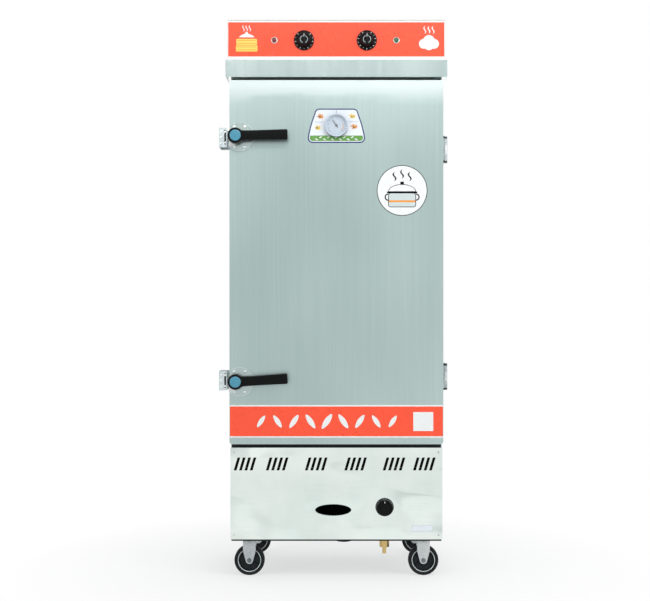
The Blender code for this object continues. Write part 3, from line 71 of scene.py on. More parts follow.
# %% [markdown]
# A finish changes over its surface: brushing, smears, wear. In Blender that is arithmetic on
# sockets, and it reads best as arithmetic. This class wraps one socket, so that "1 - worn * 0.3"
# adds the Math nodes it needs, whichever side the plain number stands on.

# %% Arithmetic on sockets
class Shade:
    """A number that changes over a surface, as one socket of a finish."""

    def __init__(self, finish, socket):
        self.finish = finish
        self.socket = socket

    def maths(self, operation, left, right):
        return self.finish.node("ShaderNodeMath", {"operation": operation}, {0: left, 1: right})

    def __add__(self, other):
        return self.maths("ADD", self, other)

    def __radd__(self, other):
        return self.maths("ADD", other, self)

    def __sub__(self, other):
        return self.maths("SUBTRACT", self, other)

    def __rsub__(self, other):
        return self.maths("SUBTRACT", other, self)

    def __mul__(self, other):
        return self.maths("MULTIPLY", self, other)

    def __rmul__(self, other):
        return self.maths("MULTIPLY", other, self)


# %% [markdown]
# A finish is one material. Its node method takes any node's type, its settings and the values or
# links of its sockets. Colours go through Mix, since a Math node would turn them grey. Places on
# a piece are its own coordinates in metres, so a pattern stays on the piece when it moves.

# %% A finish and its nodes
class Tree:
    """The nodes of a finish or of the room."""

    def __init__(self, tree):
        self.tree = tree

    def feed(self, socket, value):
        if isinstance(value, Shade):
            self.tree.links.new(value.socket, socket)
        else:
            socket.default_value = value

    def node(self, kind, settings=None, sockets=None, out=0):
        made = self.tree.nodes.new(kind)
        for key, value in (settings or {}).items():
            setattr(made, key, value)
        for key, value in (sockets or {}).items():
            self.feed(made.inputs[key], value)
        return Shade(self, made.outputs[out])

    def ray(self, kind):
        return self.node("ShaderNodeLightPath", out="Is %s Ray" % kind)

    def height(self):
        """The third of the three generated numbers: on a piece, its share of the height."""
        seen = self.node("ShaderNodeTexCoord", out="Generated")
        return self.node("ShaderNodeSeparateXYZ", {}, {"Vector": seen}, out="Z")

    def ramp(self, value, start, end):
        """0 below the start, 1 above the end."""
        return self.node("ShaderNodeMapRange", {},
                         {"Value": value, "From Min": start, "From Max": end})

    def mix(self, factor, one, other):
        return self.node("ShaderNodeMix", {"data_type": "RGBA"},
                         {0: factor, 6: one, 7: other}, out=2)


class Finish(Tree):
    """One material, built from its nodes."""

    def __init__(self, name):
        self.material = bpy.data.materials.new(name)
        self.material.use_nodes = True
        super().__init__(self.material.node_tree)
        self.surface = self.tree.nodes["Principled BSDF"]

    def place(self, scale):
        seen = self.node("ShaderNodeTexCoord", out="Object")
        return self.node("ShaderNodeMapping", {}, {"Vector": seen, "Scale": scale})

    def noise(self, scale, detail=2.0):
        """A noise with its own scale along each way, or one scale for all three."""
        scales = scale if isinstance(scale, tuple) else (scale, scale, scale)
        return self.node("ShaderNodeTexNoise", {},
                         {"Vector": self.place(scales), "Scale": 1.0, "Detail": detail})

    def bump(self, height, strength, distance):
        return self.node("ShaderNodeBump", {},
                         {"Height": height, "Strength": strength, "Distance": distance})

    def set(self, **sockets):
        for name, value in sockets.items():
            self.feed(self.surface.inputs[name.replace("_", " ")], value)
        return self.material


def rgb(red, green, blue):
    """A colour as a screen writes it, 0 to 255, turned into the light it stands for."""
    parts = [part / 255 for part in (red, green, blue)]
    light = [p / 12.92 if p <= 0.04045 else ((p + 0.055) / 1.055) ** 2.4 for p in parts]
    return (*light, 1.0)


# %% [markdown]
# Stainless sheet is brushed along its length, so the door and the sides carry fine upright lines.
# A stretched noise gives them: thousands of changes across the sheet, a few along it. Broad, soft
# clouds keep a large panel from looking printed. The lines change roughness more than colour,
# because a brushed metal is told by how its shine breaks up.

# %% Brushed, bright and mill steel
def brushed_steel(name, dark, light, rough, across, along, painted_highlight_band=None):
    """Upright hairlines; a last pair of numbers gives the share of the height from which the sheet is painted
    paler in patches, a painted highlight of the lamps' glare near its top.
    """
    finish = Finish(name)
    lines = finish.noise((across, across, along), 3.0)
    hairs = finish.noise((3 * across, 3 * across, along), 1.0)
    clouds = finish.noise((2.2, 2.2, 1.1), 2.0)
    tone = finish.ramp(lines * 0.16 + hairs * 0.14 + clouds * 0.70, 0.34, 0.66)
    colour = finish.mix(tone, dark, light)
    # Painted highlight: towards the top the colour goes paler in patches, standing in for the lamps' glare on
    # the sheet.
    if painted_highlight_band:
        paler = finish.ramp(finish.height(), *painted_highlight_band)
        highlight_patches = finish.ramp(finish.noise((5.0, 5.0, 14.0)), 0.36, 0.56)
        colour = finish.mix(paler * highlight_patches, colour, rgb(208, 219, 218))
    return finish.set(Base_Color=colour, Metallic=1.0,
                      Roughness=(lines * 0.07 + clouds * 0.12) + (rough - 0.10),
                      Normal=finish.bump(lines + hairs, 0.05, 0.0004))


def bright_steel(name, dark, light, rough):
    finish = Finish(name)
    waves = finish.noise((3.0, 3.0, 5.0), 1.0)
    smears = finish.noise((14.0, 14.0, 9.0), 4.0)
    lines = finish.noise((9.0, 700.0, 700.0), 2.0)
    tone = finish.ramp(waves * 0.5 + smears * 0.3 + lines * 0.2, 0.35, 0.65)
    return finish.set(Base_Color=finish.mix(tone, dark, light), Metallic=1.0,
                      Roughness=finish.ramp(smears, 0.35, 0.8) * 0.10 + rough,
                      Normal=finish.bump(waves, 0.9, 0.060))


def plain_metal(name, dark, light, rough, grain):
    finish = Finish(name)
    spots = finish.noise(grain, 3.0)
    clouds = finish.noise(9.0)
    tone = finish.ramp(spots * 0.5 + clouds * 0.5, 0.35, 0.65)
    return finish.set(Base_Color=finish.mix(tone, dark, light), Metallic=1.0,
                      Roughness=spots * 0.2 + (rough - 0.1),
                      Normal=finish.bump(spots, 0.15, 0.0003))


METALS = {
    "brushed_steel": (brushed_steel, (165, 184, 182), (185, 202, 199), 0.34, 260.0, 2.5),
    "bright_steel": (bright_steel, (214, 226, 221), (236, 242, 238), 0.07),
    "inner_steel": (brushed_steel, (172, 178, 176), (204, 208, 205), 0.34, 120.0, 6.0),
    "satin_steel": (brushed_steel, (166, 182, 180), (192, 205, 203), 0.26, 30.0, 4.0),
    # The door's steel has a painted highlight in its top part, from 0.930 to 0.985 of its height.
    "door_steel": (brushed_steel, (165, 184, 182), (185, 202, 199), 0.34, 260.0, 2.5, (0.930, 0.985)),
    "zinc": (plain_metal, (170, 176, 178), (212, 216, 216), 0.32, 260.0),
    "pale_zinc": (plain_metal, (180, 192, 196), (214, 222, 224), 0.38, 120.0),
    "dark_zinc": (plain_metal, (96, 104, 106), (128, 136, 138), 0.38, 260.0),
    "brass": (plain_metal, (178, 150, 88), (224, 198, 140), 0.28, 300.0),
}
FINISHES = {name: maker(name, rgb(*dark), rgb(*light), *values)
            for name, (maker, dark, light, *values) in METALS.items()}
print("metal finishes", sorted(FINISHES))

# %% [markdown]
# The other finishes aren't metal. Moulded black plastic has a fine grain that dulls it. Rubber is
# duller still, with dust in its hollows. Films and painted faces are even in colour, with a thin
# gloss, so only smears show on them.

# %% Plastic, rubber, film and paint
def plastic(name, colour, rough, grain, worn=0.06, shine=0.5):
    finish = Finish(name)
    finish.surface.inputs["Specular IOR Level"].default_value = shine
    specks = finish.noise(grain)
    clouds = finish.noise(22.0, 3.0)
    paler = tuple(min(1.0, part + worn) for part in colour[:3]) + (1.0,)
    return finish.set(Base_Color=finish.mix(finish.ramp(clouds, 0.45, 0.8), colour, paler),
                      Roughness=specks * 0.16 + (rough - 0.08),
                      Normal=finish.bump(specks, 0.10, 0.0002))


def film(name, colour, rough=0.28):
    finish = Finish(name)
    smears = finish.noise((16.0, 16.0, 11.0), 4.0)
    shade = tuple(part * 0.95 for part in colour[:3]) + (1.0,)
    return finish.set(Base_Color=finish.mix(finish.ramp(smears, 0.5, 1.0), colour, shade),
                      Roughness=smears * 0.14 + (rough - 0.07))


def clear(name, colour, rough=0.03):
    finish = Finish(name)
    dust = finish.noise(60.0, 3.0)
    return finish.set(Base_Color=colour, Alpha=0.08, Roughness=finish.ramp(dust, 0.55, 1.0) * 0.2 + rough)


def woven(name, dark, light):
    finish = Finish(name)
    fibres = finish.noise((90.0, 90.0, 260.0), 5.0)
    return finish.set(Base_Color=finish.mix(finish.ramp(fibres, 0.35, 0.65), dark, light), Roughness=0.95,
                      Normal=finish.bump(fibres, 0.6, 0.002))


def cast_iron(name):
    finish = Finish(name)
    sand = finish.noise(420.0, 3.0)
    rust = finish.ramp(finish.noise(30.0, 4.0), 0.55, 0.8)
    return finish.set(Base_Color=finish.mix(rust, rgb(44, 43, 43), rgb(86, 64, 50)),
                      Metallic=1 - rust * 0.8, Roughness=sand * 0.2 + 0.5,
                      Normal=finish.bump(sand, 0.5, 0.0008))


def hinge_leaf(name):
    """Pale metal that is nearly black and not metallic at both ends of its knuckles."""
    finish = Finish(name)
    up = finish.height()
    dark_ends = finish.ramp(up, 0.92, 0.93) + (1 - finish.ramp(up, 0.07, 0.08))
    spots = finish.noise(120.0, 3.0)
    metal = finish.mix(finish.ramp(spots, 0.35, 0.65), rgb(146, 156, 158), rgb(182, 190, 191))
    return finish.set(Base_Color=finish.mix(dark_ends, metal, rgb(24, 27, 29)), Metallic=1 - dark_ends, Roughness=0.36)


COLOURED = {
    "red_panel": (film, (243, 78, 46)),
    "black_plastic": (plastic, (4, 5, 6), 0.36, 900.0, 0.002, 0.12),
    "red_lens": (plastic, (104, 12, 18), 0.14, 60.0, 0.02),
    "green_lens": (plastic, (22, 92, 62), 0.14, 60.0, 0.02),
    "clear_glass": (clear, (244, 249, 250)),
    "needle_paint": (film, (34, 38, 60), 0.4),
    "silicone": (plastic, (150, 152, 148), 0.55, 300.0, 0.04),
    "rubber": (plastic, (16, 19, 21), 0.55, 500.0, 0.012, 0.2),
    "blue_plastic": (plastic, (68, 138, 162), 0.32, 200.0, 0.02),
    "white_film": (film, (228, 230, 230)),
    "navy_print": (film, (44, 50, 108)),
    "dial_face": (film, (186, 198, 212), 0.36),
    "pale_print": (film, (222, 228, 236)),
    # Black print; the same black serves as painted shade at the panel's top edge, in the keeper recesses and
    # inside the base.
    "black_print": (plastic, (12, 13, 15), 0.5, 400.0, 0.003, 0.1),
    "orange_print": (film, (232, 150, 58)),
    "green_print": (film, (96, 150, 72)),
    "yellow_print": (film, (240, 206, 96)),
    "rim_lacquer": (plastic, (22, 26, 54), 0.5, 200.0, 0.005, 0.15),
    "hub_plastic": (plastic, (18, 27, 30), 0.45, 500.0, 0.01, 0.25),
    "ring_plastic": (plastic, (196, 206, 206), 0.42, 500.0, 0.03),
}
for name, (maker, colour, *values) in COLOURED.items():
    FINISHES[name] = maker(name, rgb(*colour), *values)
FINISHES["wool"] = woven("wool", rgb(150, 132, 82), rgb(214, 196, 140))
FINISHES["cast_iron"] = cast_iron("cast_iron")
FINISHES["hinge_leaf"] = hinge_leaf("hinge_leaf")


def dress(node, finish):
    """Gives a solid its one finish."""
    solid = frame["nodes"][node]
    solid.data.materials.clear()
    solid.data.materials.append(FINISHES[finish])


for node, slot in SLOTS.items():
    dress(node, slot)
dress("hood_fascia", "satin_steel")
dress("door_outer_skin", "door_steel")
dress("thermometer_case", "dial_face")
for name in ("upper", "lower"):
    dress("latch_plate_" + name, "satin_steel")
    dress("latch_keeper_" + name, "pale_zinc")
    dress("hinge_door_leaf_" + name, "hinge_leaf")
    dress("hinge_body_leaf_" + name, "zinc")
print("finishes", len(FINISHES), "dressed solids", len(SLOTS))

# %% [markdown]
# The picture has a white ground with only a soft shadow under the wheels. Making the lamps
# brighter would burn out the steel, so the ground is made white for the camera alone: Light Path
# tells when a ray comes from the camera, from a shine or through glass, and there the floor is
# mostly plain white. About a third of it stays a real floor near the wheels, and that part keeps
# the shadow.

# %% The white ground
def white_floor():
    finish = Finish("white_floor")
    finish.set(Base_Color=rgb(232, 233, 233), Roughness=0.9)
    glow = finish.node("ShaderNodeEmission", {}, {"Color": (1.0, 1.0, 1.0, 1.0), "Strength": 1.0})
    body = Shade(finish, finish.surface.outputs[0])
    away = finish.node("ShaderNodeVectorMath", {"operation": "LENGTH"},
                       {0: finish.place((1.0, 0.8, 1.0))}, out="Value")
    white = finish.ramp(away, 0.35, 1.1) * 0.36 + 0.64
    seen = finish.ramp(finish.ray("Camera") + finish.ray("Glossy") + finish.ray("Transmission"), 0.0, 1.0)
    both = finish.node("ShaderNodeMixShader", {}, {0: seen * white, 1: body, 2: glow})
    finish.feed(finish.tree.nodes["Material Output"].inputs["Surface"], both)
    return finish.material


FLOOR_REACH = 14.0
floor_mesh = bpy.data.meshes.new("floor")
corners = [(FLOOR_REACH * x, FLOOR_REACH * y, 0) for x, y in ((-1, -1), (1, -1), (1, 1), (-1, 1))]
floor_mesh.from_pydata(corners, [], [(0, 1, 2, 3)])
floor_mesh.materials.append(white_floor())
floor = bpy.data.objects.new("floor", floor_mesh)
bpy.context.scene.collection.objects.link(floor)
print("floor", FLOOR_REACH * 2, "m wide")

# %% [markdown]
# The world is a pale room. It lights the cabinet softly from all round, and the metal mirrors it,
# so it isn't even: a little darker towards the ground, or polished steel would look like paper.
# Behind the cabinet the camera sees plain white.

# %% The room
def pale_room():
    world = bpy.data.worlds.new("pale_room")
    world.use_nodes = True
    bpy.context.scene.world = world
    room = Tree(world.node_tree)
    light = room.mix(room.ramp(room.height(), -0.35, 0.5), (0.60, 0.63, 0.63, 1), (0.86, 0.89, 0.89, 1))
    away = room.node("ShaderNodeTexCoord", out="Generated")
    patches = room.node("ShaderNodeTexNoise", {}, {"Vector": away, "Scale": 3.4, "Detail": 1.0})
    light = room.mix(room.ramp(patches, 0.40, 0.62), light, (1.04, 1.05, 1.05, 1))
    white = room.ramp(room.ray("Camera") + room.ray("Transmission"), 0.0, 1.0)
    ground = room.tree.nodes["Background"]
    room.feed(ground.inputs["Color"], room.mix(white, light, (1, 1, 1, 1)))
    room.feed(ground.inputs["Strength"], white + (1 - white) * (0.52 + room.ray("Glossy") * 0.48))


pale_room()

# %% [markdown]
# Four large soft lamps do the rest: one high in front, one at the right, a weaker one at the left
# and one behind for the views of the back. Large lamps give soft edges on the metal.

# %% Lamps
def lamp(name, place, aim, size, power):
    light = bpy.data.lights.new(name, "AREA")
    light.shape = "RECTANGLE"
    light.size, light.size_y = size
    light.energy = power
    shown = bpy.data.objects.new(name, light)
    shown.location = place
    shown.rotation_euler = (Vector(aim) - Vector(place)).to_track_quat("-Z", "Y").to_euler()
    bpy.context.scene.collection.objects.link(shown)


lamp("lamp_high", (0.35, -2.3, 2.95), (0.1, -0.2, 1.35), (2.2, 0.9), 38.0)
lamp("lamp_right", (2.6, -2.4, 1.9), (0.2, 0.0, 1.0), (1.2, 2.2), 37.0)
lamp("lamp_left", (-2.8, -2.6, 1.7), (0.0, 0.0, 0.8), (1.2, 2.2), 26.0)
lamp("lamp_back", (0.5, 3.2, 2.8), (0.0, 0.0, 1.0), (2.4, 1.6), 36.0)

# %% [markdown]
# The camera stands straight in front at chest height, far enough back for a product picture. The
# cabinet sits right of the frame's middle and the horizon is below it, which is shift, not a
# turned camera: upright edges stay upright.

# %% Camera
CAMERA_BACK = 4.45
CAMERA_HEIGHT = 0.806
WIDTH_SEEN = 2.054
SENSOR = 36.0
PICTURE_WIDTH, SHIFT_ACROSS, SHIFT_UP = 650, -11.4, 24.5
camera_data = bpy.data.cameras.new("camera")
camera_data.sensor_width = SENSOR
camera_data.lens = SENSOR * CAMERA_BACK / WIDTH_SEEN
camera_data.shift_x = SHIFT_ACROSS / PICTURE_WIDTH
camera_data.shift_y = SHIFT_UP / PICTURE_WIDTH
camera = bpy.data.objects.new("camera", camera_data)
camera.location = (MIDDLE, door_low.y - CAMERA_BACK, CAMERA_HEIGHT)
camera.rotation_euler = (math.radians(90), 0, 0)
bpy.context.scene.collection.objects.link(camera)
bpy.context.scene.camera = camera
bpy.context.scene.view_settings.view_transform = "Standard"
print("lens", round(camera_data.lens, 1), "mm")

# %% [markdown]
# Every added piece is a mesh made here. Three ways of shaping cover them all: a slab with rounded
# edges, a plate cut to an outline, and a piece turned on a lathe. Real sheet and mouldings never
# have knife edges, so each way rounds its edges; the rounding is what catches the light.

# %% Helpers that keep and place a piece
ROW_SLOTS = {material["slot"] for material in frame["record"]["materials"]}
KIN_SLOT = {"hub_plastic": "black_plastic", "ring_plastic": "black_plastic",
            "rim_lacquer": "black_plastic", "pale_zinc": "zinc", "dark_zinc": "zinc"}


def keep(name, mesh_maker, slot, body, stands_for=(), smooth=35):
    """Stores a piece, gives it its finish and lets it move with its body."""
    mesh = bpy.data.meshes.new(name)
    mesh_maker.to_mesh(mesh)
    mesh_maker.free()
    mesh.materials.append(FINISHES[slot])
    mesh.shade_smooth()
    mesh.set_sharp_from_angle(angle=math.radians(smooth))
    piece = bpy.data.objects.new(name, mesh)
    bpy.context.scene.collection.objects.link(piece)
    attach(piece, body)
    slot if slot in ROW_SLOTS else KIN_SLOT.get(slot, "printed_film")
    if stands_for:
        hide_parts(*stands_for)
    return piece


def add_prism(form, outline, low, high, edge=0.0, steps=2):
    """Adds an upright prism: outline in X and Z, from y = low to y = high; rounds its rims."""
    rings = [[form.verts.new((x, y, z)) for x, z in outline] for y in (low, high)]
    count = len(outline)
    faces = [form.faces.new(rings[0]), form.faces.new(tuple(reversed(rings[1])))]
    for i in range(count):
        j = (i + 1) % count
        faces.append(form.faces.new((rings[0][j], rings[0][i], rings[1][i], rings[1][j])))
    bmesh.ops.recalc_face_normals(form, faces=faces)
    if edge:
        rims = {e for ring in rings for i in range(count)
                for e in [form.edges.get((ring[i], ring[(i + 1) % count]))] if e}
        bmesh.ops.bevel(form, geom=list(rims), offset=edge, segments=steps, profile=0.5,
                        affect="EDGES", clamp_overlap=True)


def add_slab(form, low, high, edge=0.0, steps=2):
    """Adds a box with all its edges rounded."""
    middle = [(a + b) / 2 for a, b in zip(low, high)]
    size = [b - a for a, b in zip(low, high)]
    made = bmesh.ops.create_cube(form, size=1.0,
                                 matrix=Matrix.Translation(middle) @ Matrix.Diagonal((*size, 1)))
    if edge:
        edges = list({e for v in made["verts"] for e in v.link_edges})
        bmesh.ops.bevel(form, geom=edges, offset=edge, segments=steps, profile=0.5,
                        affect="EDGES", clamp_overlap=True)


def add_copy(form, part, matrix):
    """Moves a part to its place and adds it to a larger form."""
    part.transform(matrix)
    kept = bpy.data.meshes.new("part")
    part.to_mesh(kept)
    part.free()
    form.from_mesh(kept)
    bpy.data.meshes.remove(kept)


TURNS = {"X": (Vector((1, 0, 0)), Vector((0, 1, 0)), Vector((0, 0, 1))),
         "Y": (Vector((0, 1, 0)), Vector((0, 0, 1)), Vector((1, 0, 0))),
         "Z": (Vector((0, 0, 1)), Vector((1, 0, 0)), Vector((0, 1, 0)))}


def add_turned(form, profile, place, axis="Y", steps=48, wave=None):
    """Adds a turned piece: profile of (radius, distance along the axis), closed if it ends at 0."""
    along, side, up = TURNS[axis]
    rings = []
    for radius, far in profile:
        if radius == 0:
            rings.append([form.verts.new(Vector(place) + along * far)])
            continue
        ring = []
        for i in range(steps):
            angle = 2 * math.pi * i / steps
            reach = radius * (wave(angle, far) if wave else 1.0)
            ring.append(form.verts.new(Vector(place) + along * far
                                       + (side * math.cos(angle) + up * math.sin(angle)) * reach))
        rings.append(ring)
    faces = []
    for one, other in zip(rings, rings[1:]):
        for i in range(steps):
            j = (i + 1) % steps
            corners = [one[i % len(one)], one[j % len(one)], other[j % len(other)], other[i % len(other)]]
            corners = list(dict.fromkeys(corners))
            if len(corners) > 2:
                faces.append(form.faces.new(corners))
    if len(rings[0]) > 1 and profile[0] != profile[-1]:
        faces.append(form.faces.new(list(reversed(rings[0]))))
        if len(rings[-1]) > 1:
            faces.append(form.faces.new(rings[-1]))
    elif len(rings[-1]) > 1 and profile[0] != profile[-1]:
        faces.append(form.faces.new(rings[-1]))
    bmesh.ops.recalc_face_normals(form, faces=faces)


def merge(form):
    """Joins the corners that lie in one place."""
    bmesh.ops.remove_doubles(form, verts=form.verts, dist=0.000001)


def turned_piece(name, profile, place, slot, body, stands_for=(), steps=48, wave=None):
    """A piece turned about Y; a profile that ends where it starts makes a ring."""
    form = bmesh.new()
    add_turned(form, profile, place, "Y", steps, wave)
    if profile[0] == profile[-1]:
        merge(form)
    return keep(name, form, slot, body, stands_for)


def quarter(radius, height, x, y, steps=6):
    """A rounded edge of a profile, without its first point: from the side over to the front."""
    angles = [math.pi / 2 * i / steps for i in range(1, steps + 1)]
    return [(x + radius * math.cos(a), y - height * math.sin(a)) for a in angles]


def rounded(half_width, half_height, corner, steps=5):
    """The outline of a rounded rectangle about (0, 0), in X and Z."""
    points = []
    for turn, (sx, sz) in enumerate(((1, 1), (-1, 1), (-1, -1), (1, -1))):
        for i in range(steps + 1):
            angle = math.pi / 2 * (turn + i / steps)
            points.append((sx * (half_width - corner) + corner * math.cos(angle),
                           sz * (half_height - corner) + corner * math.sin(angle)))
    return points


def moved(outline, x, z):
    return [(a + x, b + z) for a, b in outline]


def field(x, z, half_width, half_height, corner):
    """A rounded rectangle about a place."""
    return moved(rounded(half_width, half_height, corner), x, z)


def circle(radius, steps=40):
    return [(radius * math.cos(2 * math.pi * i / steps), radius * math.sin(2 * math.pi * i / steps))
            for i in range(steps)]


print("helpers ready")

# %% [markdown]
# The door carries a wide printed strip along its lower edge: a red film between two white lines.
# A film is a slab a few tenths of a millimetre thick that lies on the steel. It could be painted
# on by a mask, but a thin slab has a true edge and stays sharp at any distance.

# %% The strip on the door
def film_slab(name, slot, x, z, back, body="door", thick=0.0003, corner=0.0):
    form = bmesh.new()
    middle = ((x[0] + x[1]) / 2, (z[0] + z[1]) / 2)
    half = ((x[1] - x[0]) / 2, (z[1] - z[0]) / 2)
    outline = field(*middle, *half, corner) if corner else [
        (x[0], z[0]), (x[1], z[0]), (x[1], z[1]), (x[0], z[1])]
    add_prism(form, outline, back - thick, back)
    return keep(name, form, slot, body)


DOOR_FACE = door_low.y
STRIP, STRIP_RIM, STRIP_IN = (0.450, 0.553), 0.0045, 0.0015
STRIP_X = (door_low.x + STRIP_IN, door_high.x - STRIP_IN)
film_slab("strip_white", "white_film", STRIP_X, STRIP, DOOR_FACE)
film_slab("strip_red", "red_panel", STRIP_X, (STRIP[0] + STRIP_RIM, STRIP[1] - STRIP_RIM), DOOR_FACE - HAIR)
print("strip", round(STRIP[1] - STRIP[0], 3), "m high")

# %% [markdown]
# Steam cabinets carry cheerful prints. The strip gets a plain pattern of its own, a row of grains
# that thins out to both sides with a pale square at the right, and the round sticker gets a
# lidded pot with three curls of steam. All are flat prints, so each shape is again a thin plate.

# %% Grains and the pale square on the strip
def grain_outline(x, z, length, turn, steps=18):
    """A grain of rice: an ellipse that is pointed a little at both ends."""
    points = []
    for i in range(steps):
        angle = 2 * math.pi * i / steps
        along = length / 2 * math.cos(angle)
        across = length * 0.17 * math.sin(angle) * (1 - 0.25 * abs(math.cos(angle)))
        points.append((x + along * math.cos(turn) - across * math.sin(turn),
                       z + along * math.sin(turn) + across * math.cos(turn)))
    return points


def printed(name, slot, outlines, back, body="door", thick=0.00025):
    """One print made of several flat shapes."""
    form = bmesh.new()
    for outline in outlines:
        add_prism(form, outline, back - thick, back)
    return keep(name, form, slot, body)


GRAINS_ACROSS, GRAIN, GRAIN_PITCH, GRAIN_LEAN = 9, 0.056, 0.052, 34
GRAINS_X = MIDDLE - 0.030
SQUARE_X, SQUARE_Z = (MIDDLE + 0.243, MIDDLE + 0.306), (0.471, 0.531)
STRIP_MIDDLE = sum(STRIP) / 2
grains = []
for i in range(GRAINS_ACROSS):
    where = i - (GRAINS_ACROSS - 1) / 2
    grow = 1.0 - 0.055 * abs(where)
    lean = math.radians(90 - GRAIN_LEAN * (-1) ** i)
    grains.append(grain_outline(GRAINS_X + where * GRAIN_PITCH, STRIP_MIDDLE, GRAIN * grow, lean))
STRIP_FRONT = DOOR_FACE - 2 * HAIR
printed("strip_grains", "white_film", grains, STRIP_FRONT)
film_slab("strip_square", "white_film", SQUARE_X, SQUARE_Z, STRIP_FRONT)
print("grains", len(grains))


# %% [markdown]
# The sticker is a white disc with a black rim. Its motif is drawn with four kinds of shape: a curved
# stroke, a curl of steam, half an oval and a rounded field. They lie in layers a fifth of a
# millimetre apart, dark below and pale above, so that the dark one shows as an outline.

# %% The round sticker
def arc_band(x, z, radius, start, end, half, steps=20):
    """A curved stroke of even width."""
    outer, inner = [], []
    for i in range(steps + 1):
        angle = math.radians(start + (end - start) * i / steps)
        outer.append((x + (radius + half) * math.cos(angle), z + (radius + half) * math.sin(angle)))
        inner.append((x + (radius - half) * math.cos(angle), z + (radius - half) * math.sin(angle)))
    return outer + inner[::-1]


def curl(x, z, height, swing, half, steps=16):
    """An upright wavy stroke, thinner at both ends: one curl of steam."""
    left, right = [], []
    for i in range(steps + 1):
        t = i / steps
        middle = x + swing * math.sin(2 * math.pi * t)
        width = half * (0.35 + 0.65 * math.sin(math.pi * t))
        left.append((middle - width, z + height * t))
        right.append((middle + width, z + height * t))
    return left + right[::-1]


def lid_outline(x, z, half, height, steps=24):
    """The half of an oval that stands on its flat side."""
    return [(x + half * math.cos(math.pi * i / steps), z + height * math.sin(math.pi * i / steps))
            for i in range(steps + 1)]


STICKER_RADIUS, STICKER_RIM, LAYER = 0.080, 0.0022, 0.0002
sx, sz = MIDDLE + 0.2076, 1.231
printed("sticker_rim", "black_print", [moved(circle(STICKER_RADIUS, 64), sx, sz)], DOOR_FACE)
printed("sticker_ground", "white_film", [moved(circle(STICKER_RADIUS - STICKER_RIM, 64), sx, sz)],
        DOOR_FACE - LAYER)
POT_HALF, POT_HALF_HEIGHT, POT_Z, POT_LINE = 0.0440, 0.0230, sz - 0.030, 0.0022
EAR_RADIUS, EAR_Z = 0.0095, sz - 0.021
outline = [field(sx, POT_Z, POT_HALF, POT_HALF_HEIGHT, 0.0080), field(sx, sz - 0.006, 0.0480, 0.0030, 0.0028),
           lid_outline(sx, sz - 0.004, POT_HALF, 0.0240), field(sx, sz + 0.0235, 0.0060, 0.0045, 0.0030)]
outline += [arc_band(sx - side * POT_HALF, EAR_Z, EAR_RADIUS, 90 * side, 90 * side + 180, 0.0019)
            for side in (1, -1)]
outline += [curl(sx + side * 0.024, sz + 0.038 - abs(side) * 0.008, 0.028, 0.004, 0.0028)
            for side in (-1, 0, 1)]
printed("sticker_outline", "black_print", outline, DOOR_FACE - 2 * LAYER)
printed("sticker_pot", "ring_plastic",
        [field(sx, POT_Z, POT_HALF - POT_LINE, POT_HALF_HEIGHT - POT_LINE, 0.0060)], DOOR_FACE - 3 * LAYER)
printed("sticker_lid", "white_film", [lid_outline(sx, sz - 0.0025, 0.0416, 0.0204)], DOOR_FACE - 3 * LAYER)
printed("sticker_band", "orange_print", [field(sx, POT_Z - 0.004, POT_HALF - POT_LINE, 0.0030, 0.0004)],
        DOOR_FACE - 4 * LAYER)
print("sticker radius", STICKER_RADIUS)

# %% [markdown]
# The thermometer sits on a printed plate that is wider at its foot. It is made like the sticker:
# a dark rim, a pale field, a green foot and two small heaps of grain on each side of the dial. The
# dial keeps its case and its pointer, which can turn, and gets a face and marks.

# %% The plate behind the thermometer
GAUGE = (MIDDLE, 1.436)
PLATE_TOP, PLATE_FOOT = 1.490, 1.381
PLATE_TOP_HALF, PLATE_FOOT_HALF, PLATE_CORNER = 0.063, 0.0922, 0.016
GREEN_TOP = 1.4085


def plate_half(z):
    share = (z - PLATE_FOOT) / (PLATE_TOP - PLATE_FOOT)
    return PLATE_FOOT_HALF + (PLATE_TOP_HALF - PLATE_FOOT_HALF) * share ** 1.6


def plate_outline(inset, steps=10):
    corner = PLATE_CORNER - inset
    low, high = PLATE_FOOT + inset, PLATE_TOP - inset
    right = []
    for i in range(steps + 1):
        angle = -math.pi / 2 + math.pi / 2 * i / steps
        right.append((plate_half(low + corner) - inset - corner + corner * math.cos(angle),
                      low + corner + corner * math.sin(angle)))
    for i in range(1, steps):
        z = low + corner + (high - low - 2 * corner) * i / steps
        right.append((plate_half(z) - inset, z))
    for i in range(steps + 1):
        angle = math.pi / 2 * i / steps
        right.append((plate_half(high - corner) - inset - corner + corner * math.cos(angle),
                      high - corner + corner * math.sin(angle)))
    return [(MIDDLE + x, z) for x, z in right] + [(MIDDLE - x, z) for x, z in reversed(right)]


printed("gauge_plate_rim", "navy_print", [plate_outline(0.0)], DOOR_FACE)
printed("gauge_plate_field", "pale_print", [plate_outline(0.004)], DOOR_FACE - 0.00025)
EDGE = DOOR_FACE - 0.0005
foot_field = [(x, z) for x, z in plate_outline(0.0065) if z <= GREEN_TOP]
printed("gauge_plate_foot", "green_print", [foot_field], EDGE)
printed("gauge_plate_lines", "navy_print",
        [field(MIDDLE, 1.4775, 0.0004, 0.0075, 0.0002)]
        + [field(MIDDLE + side * 0.0540, 1.4480, 0.0145, 0.0003, 0.0001) for side in (-1, 1)],
        EDGE)


def handful(x, z, size, count, turn):
    """A small heap of grains: one coloured motif of the plate."""
    return [grain_outline(x + size * 0.55 * math.cos(turn + i * 2.4) * (i / count) ** 0.5,
                          z + size * 0.40 * math.sin(turn + i * 2.4) * (i / count) ** 0.5,
                          size * 0.55, turn + i * 1.3, 10) for i in range(count)]


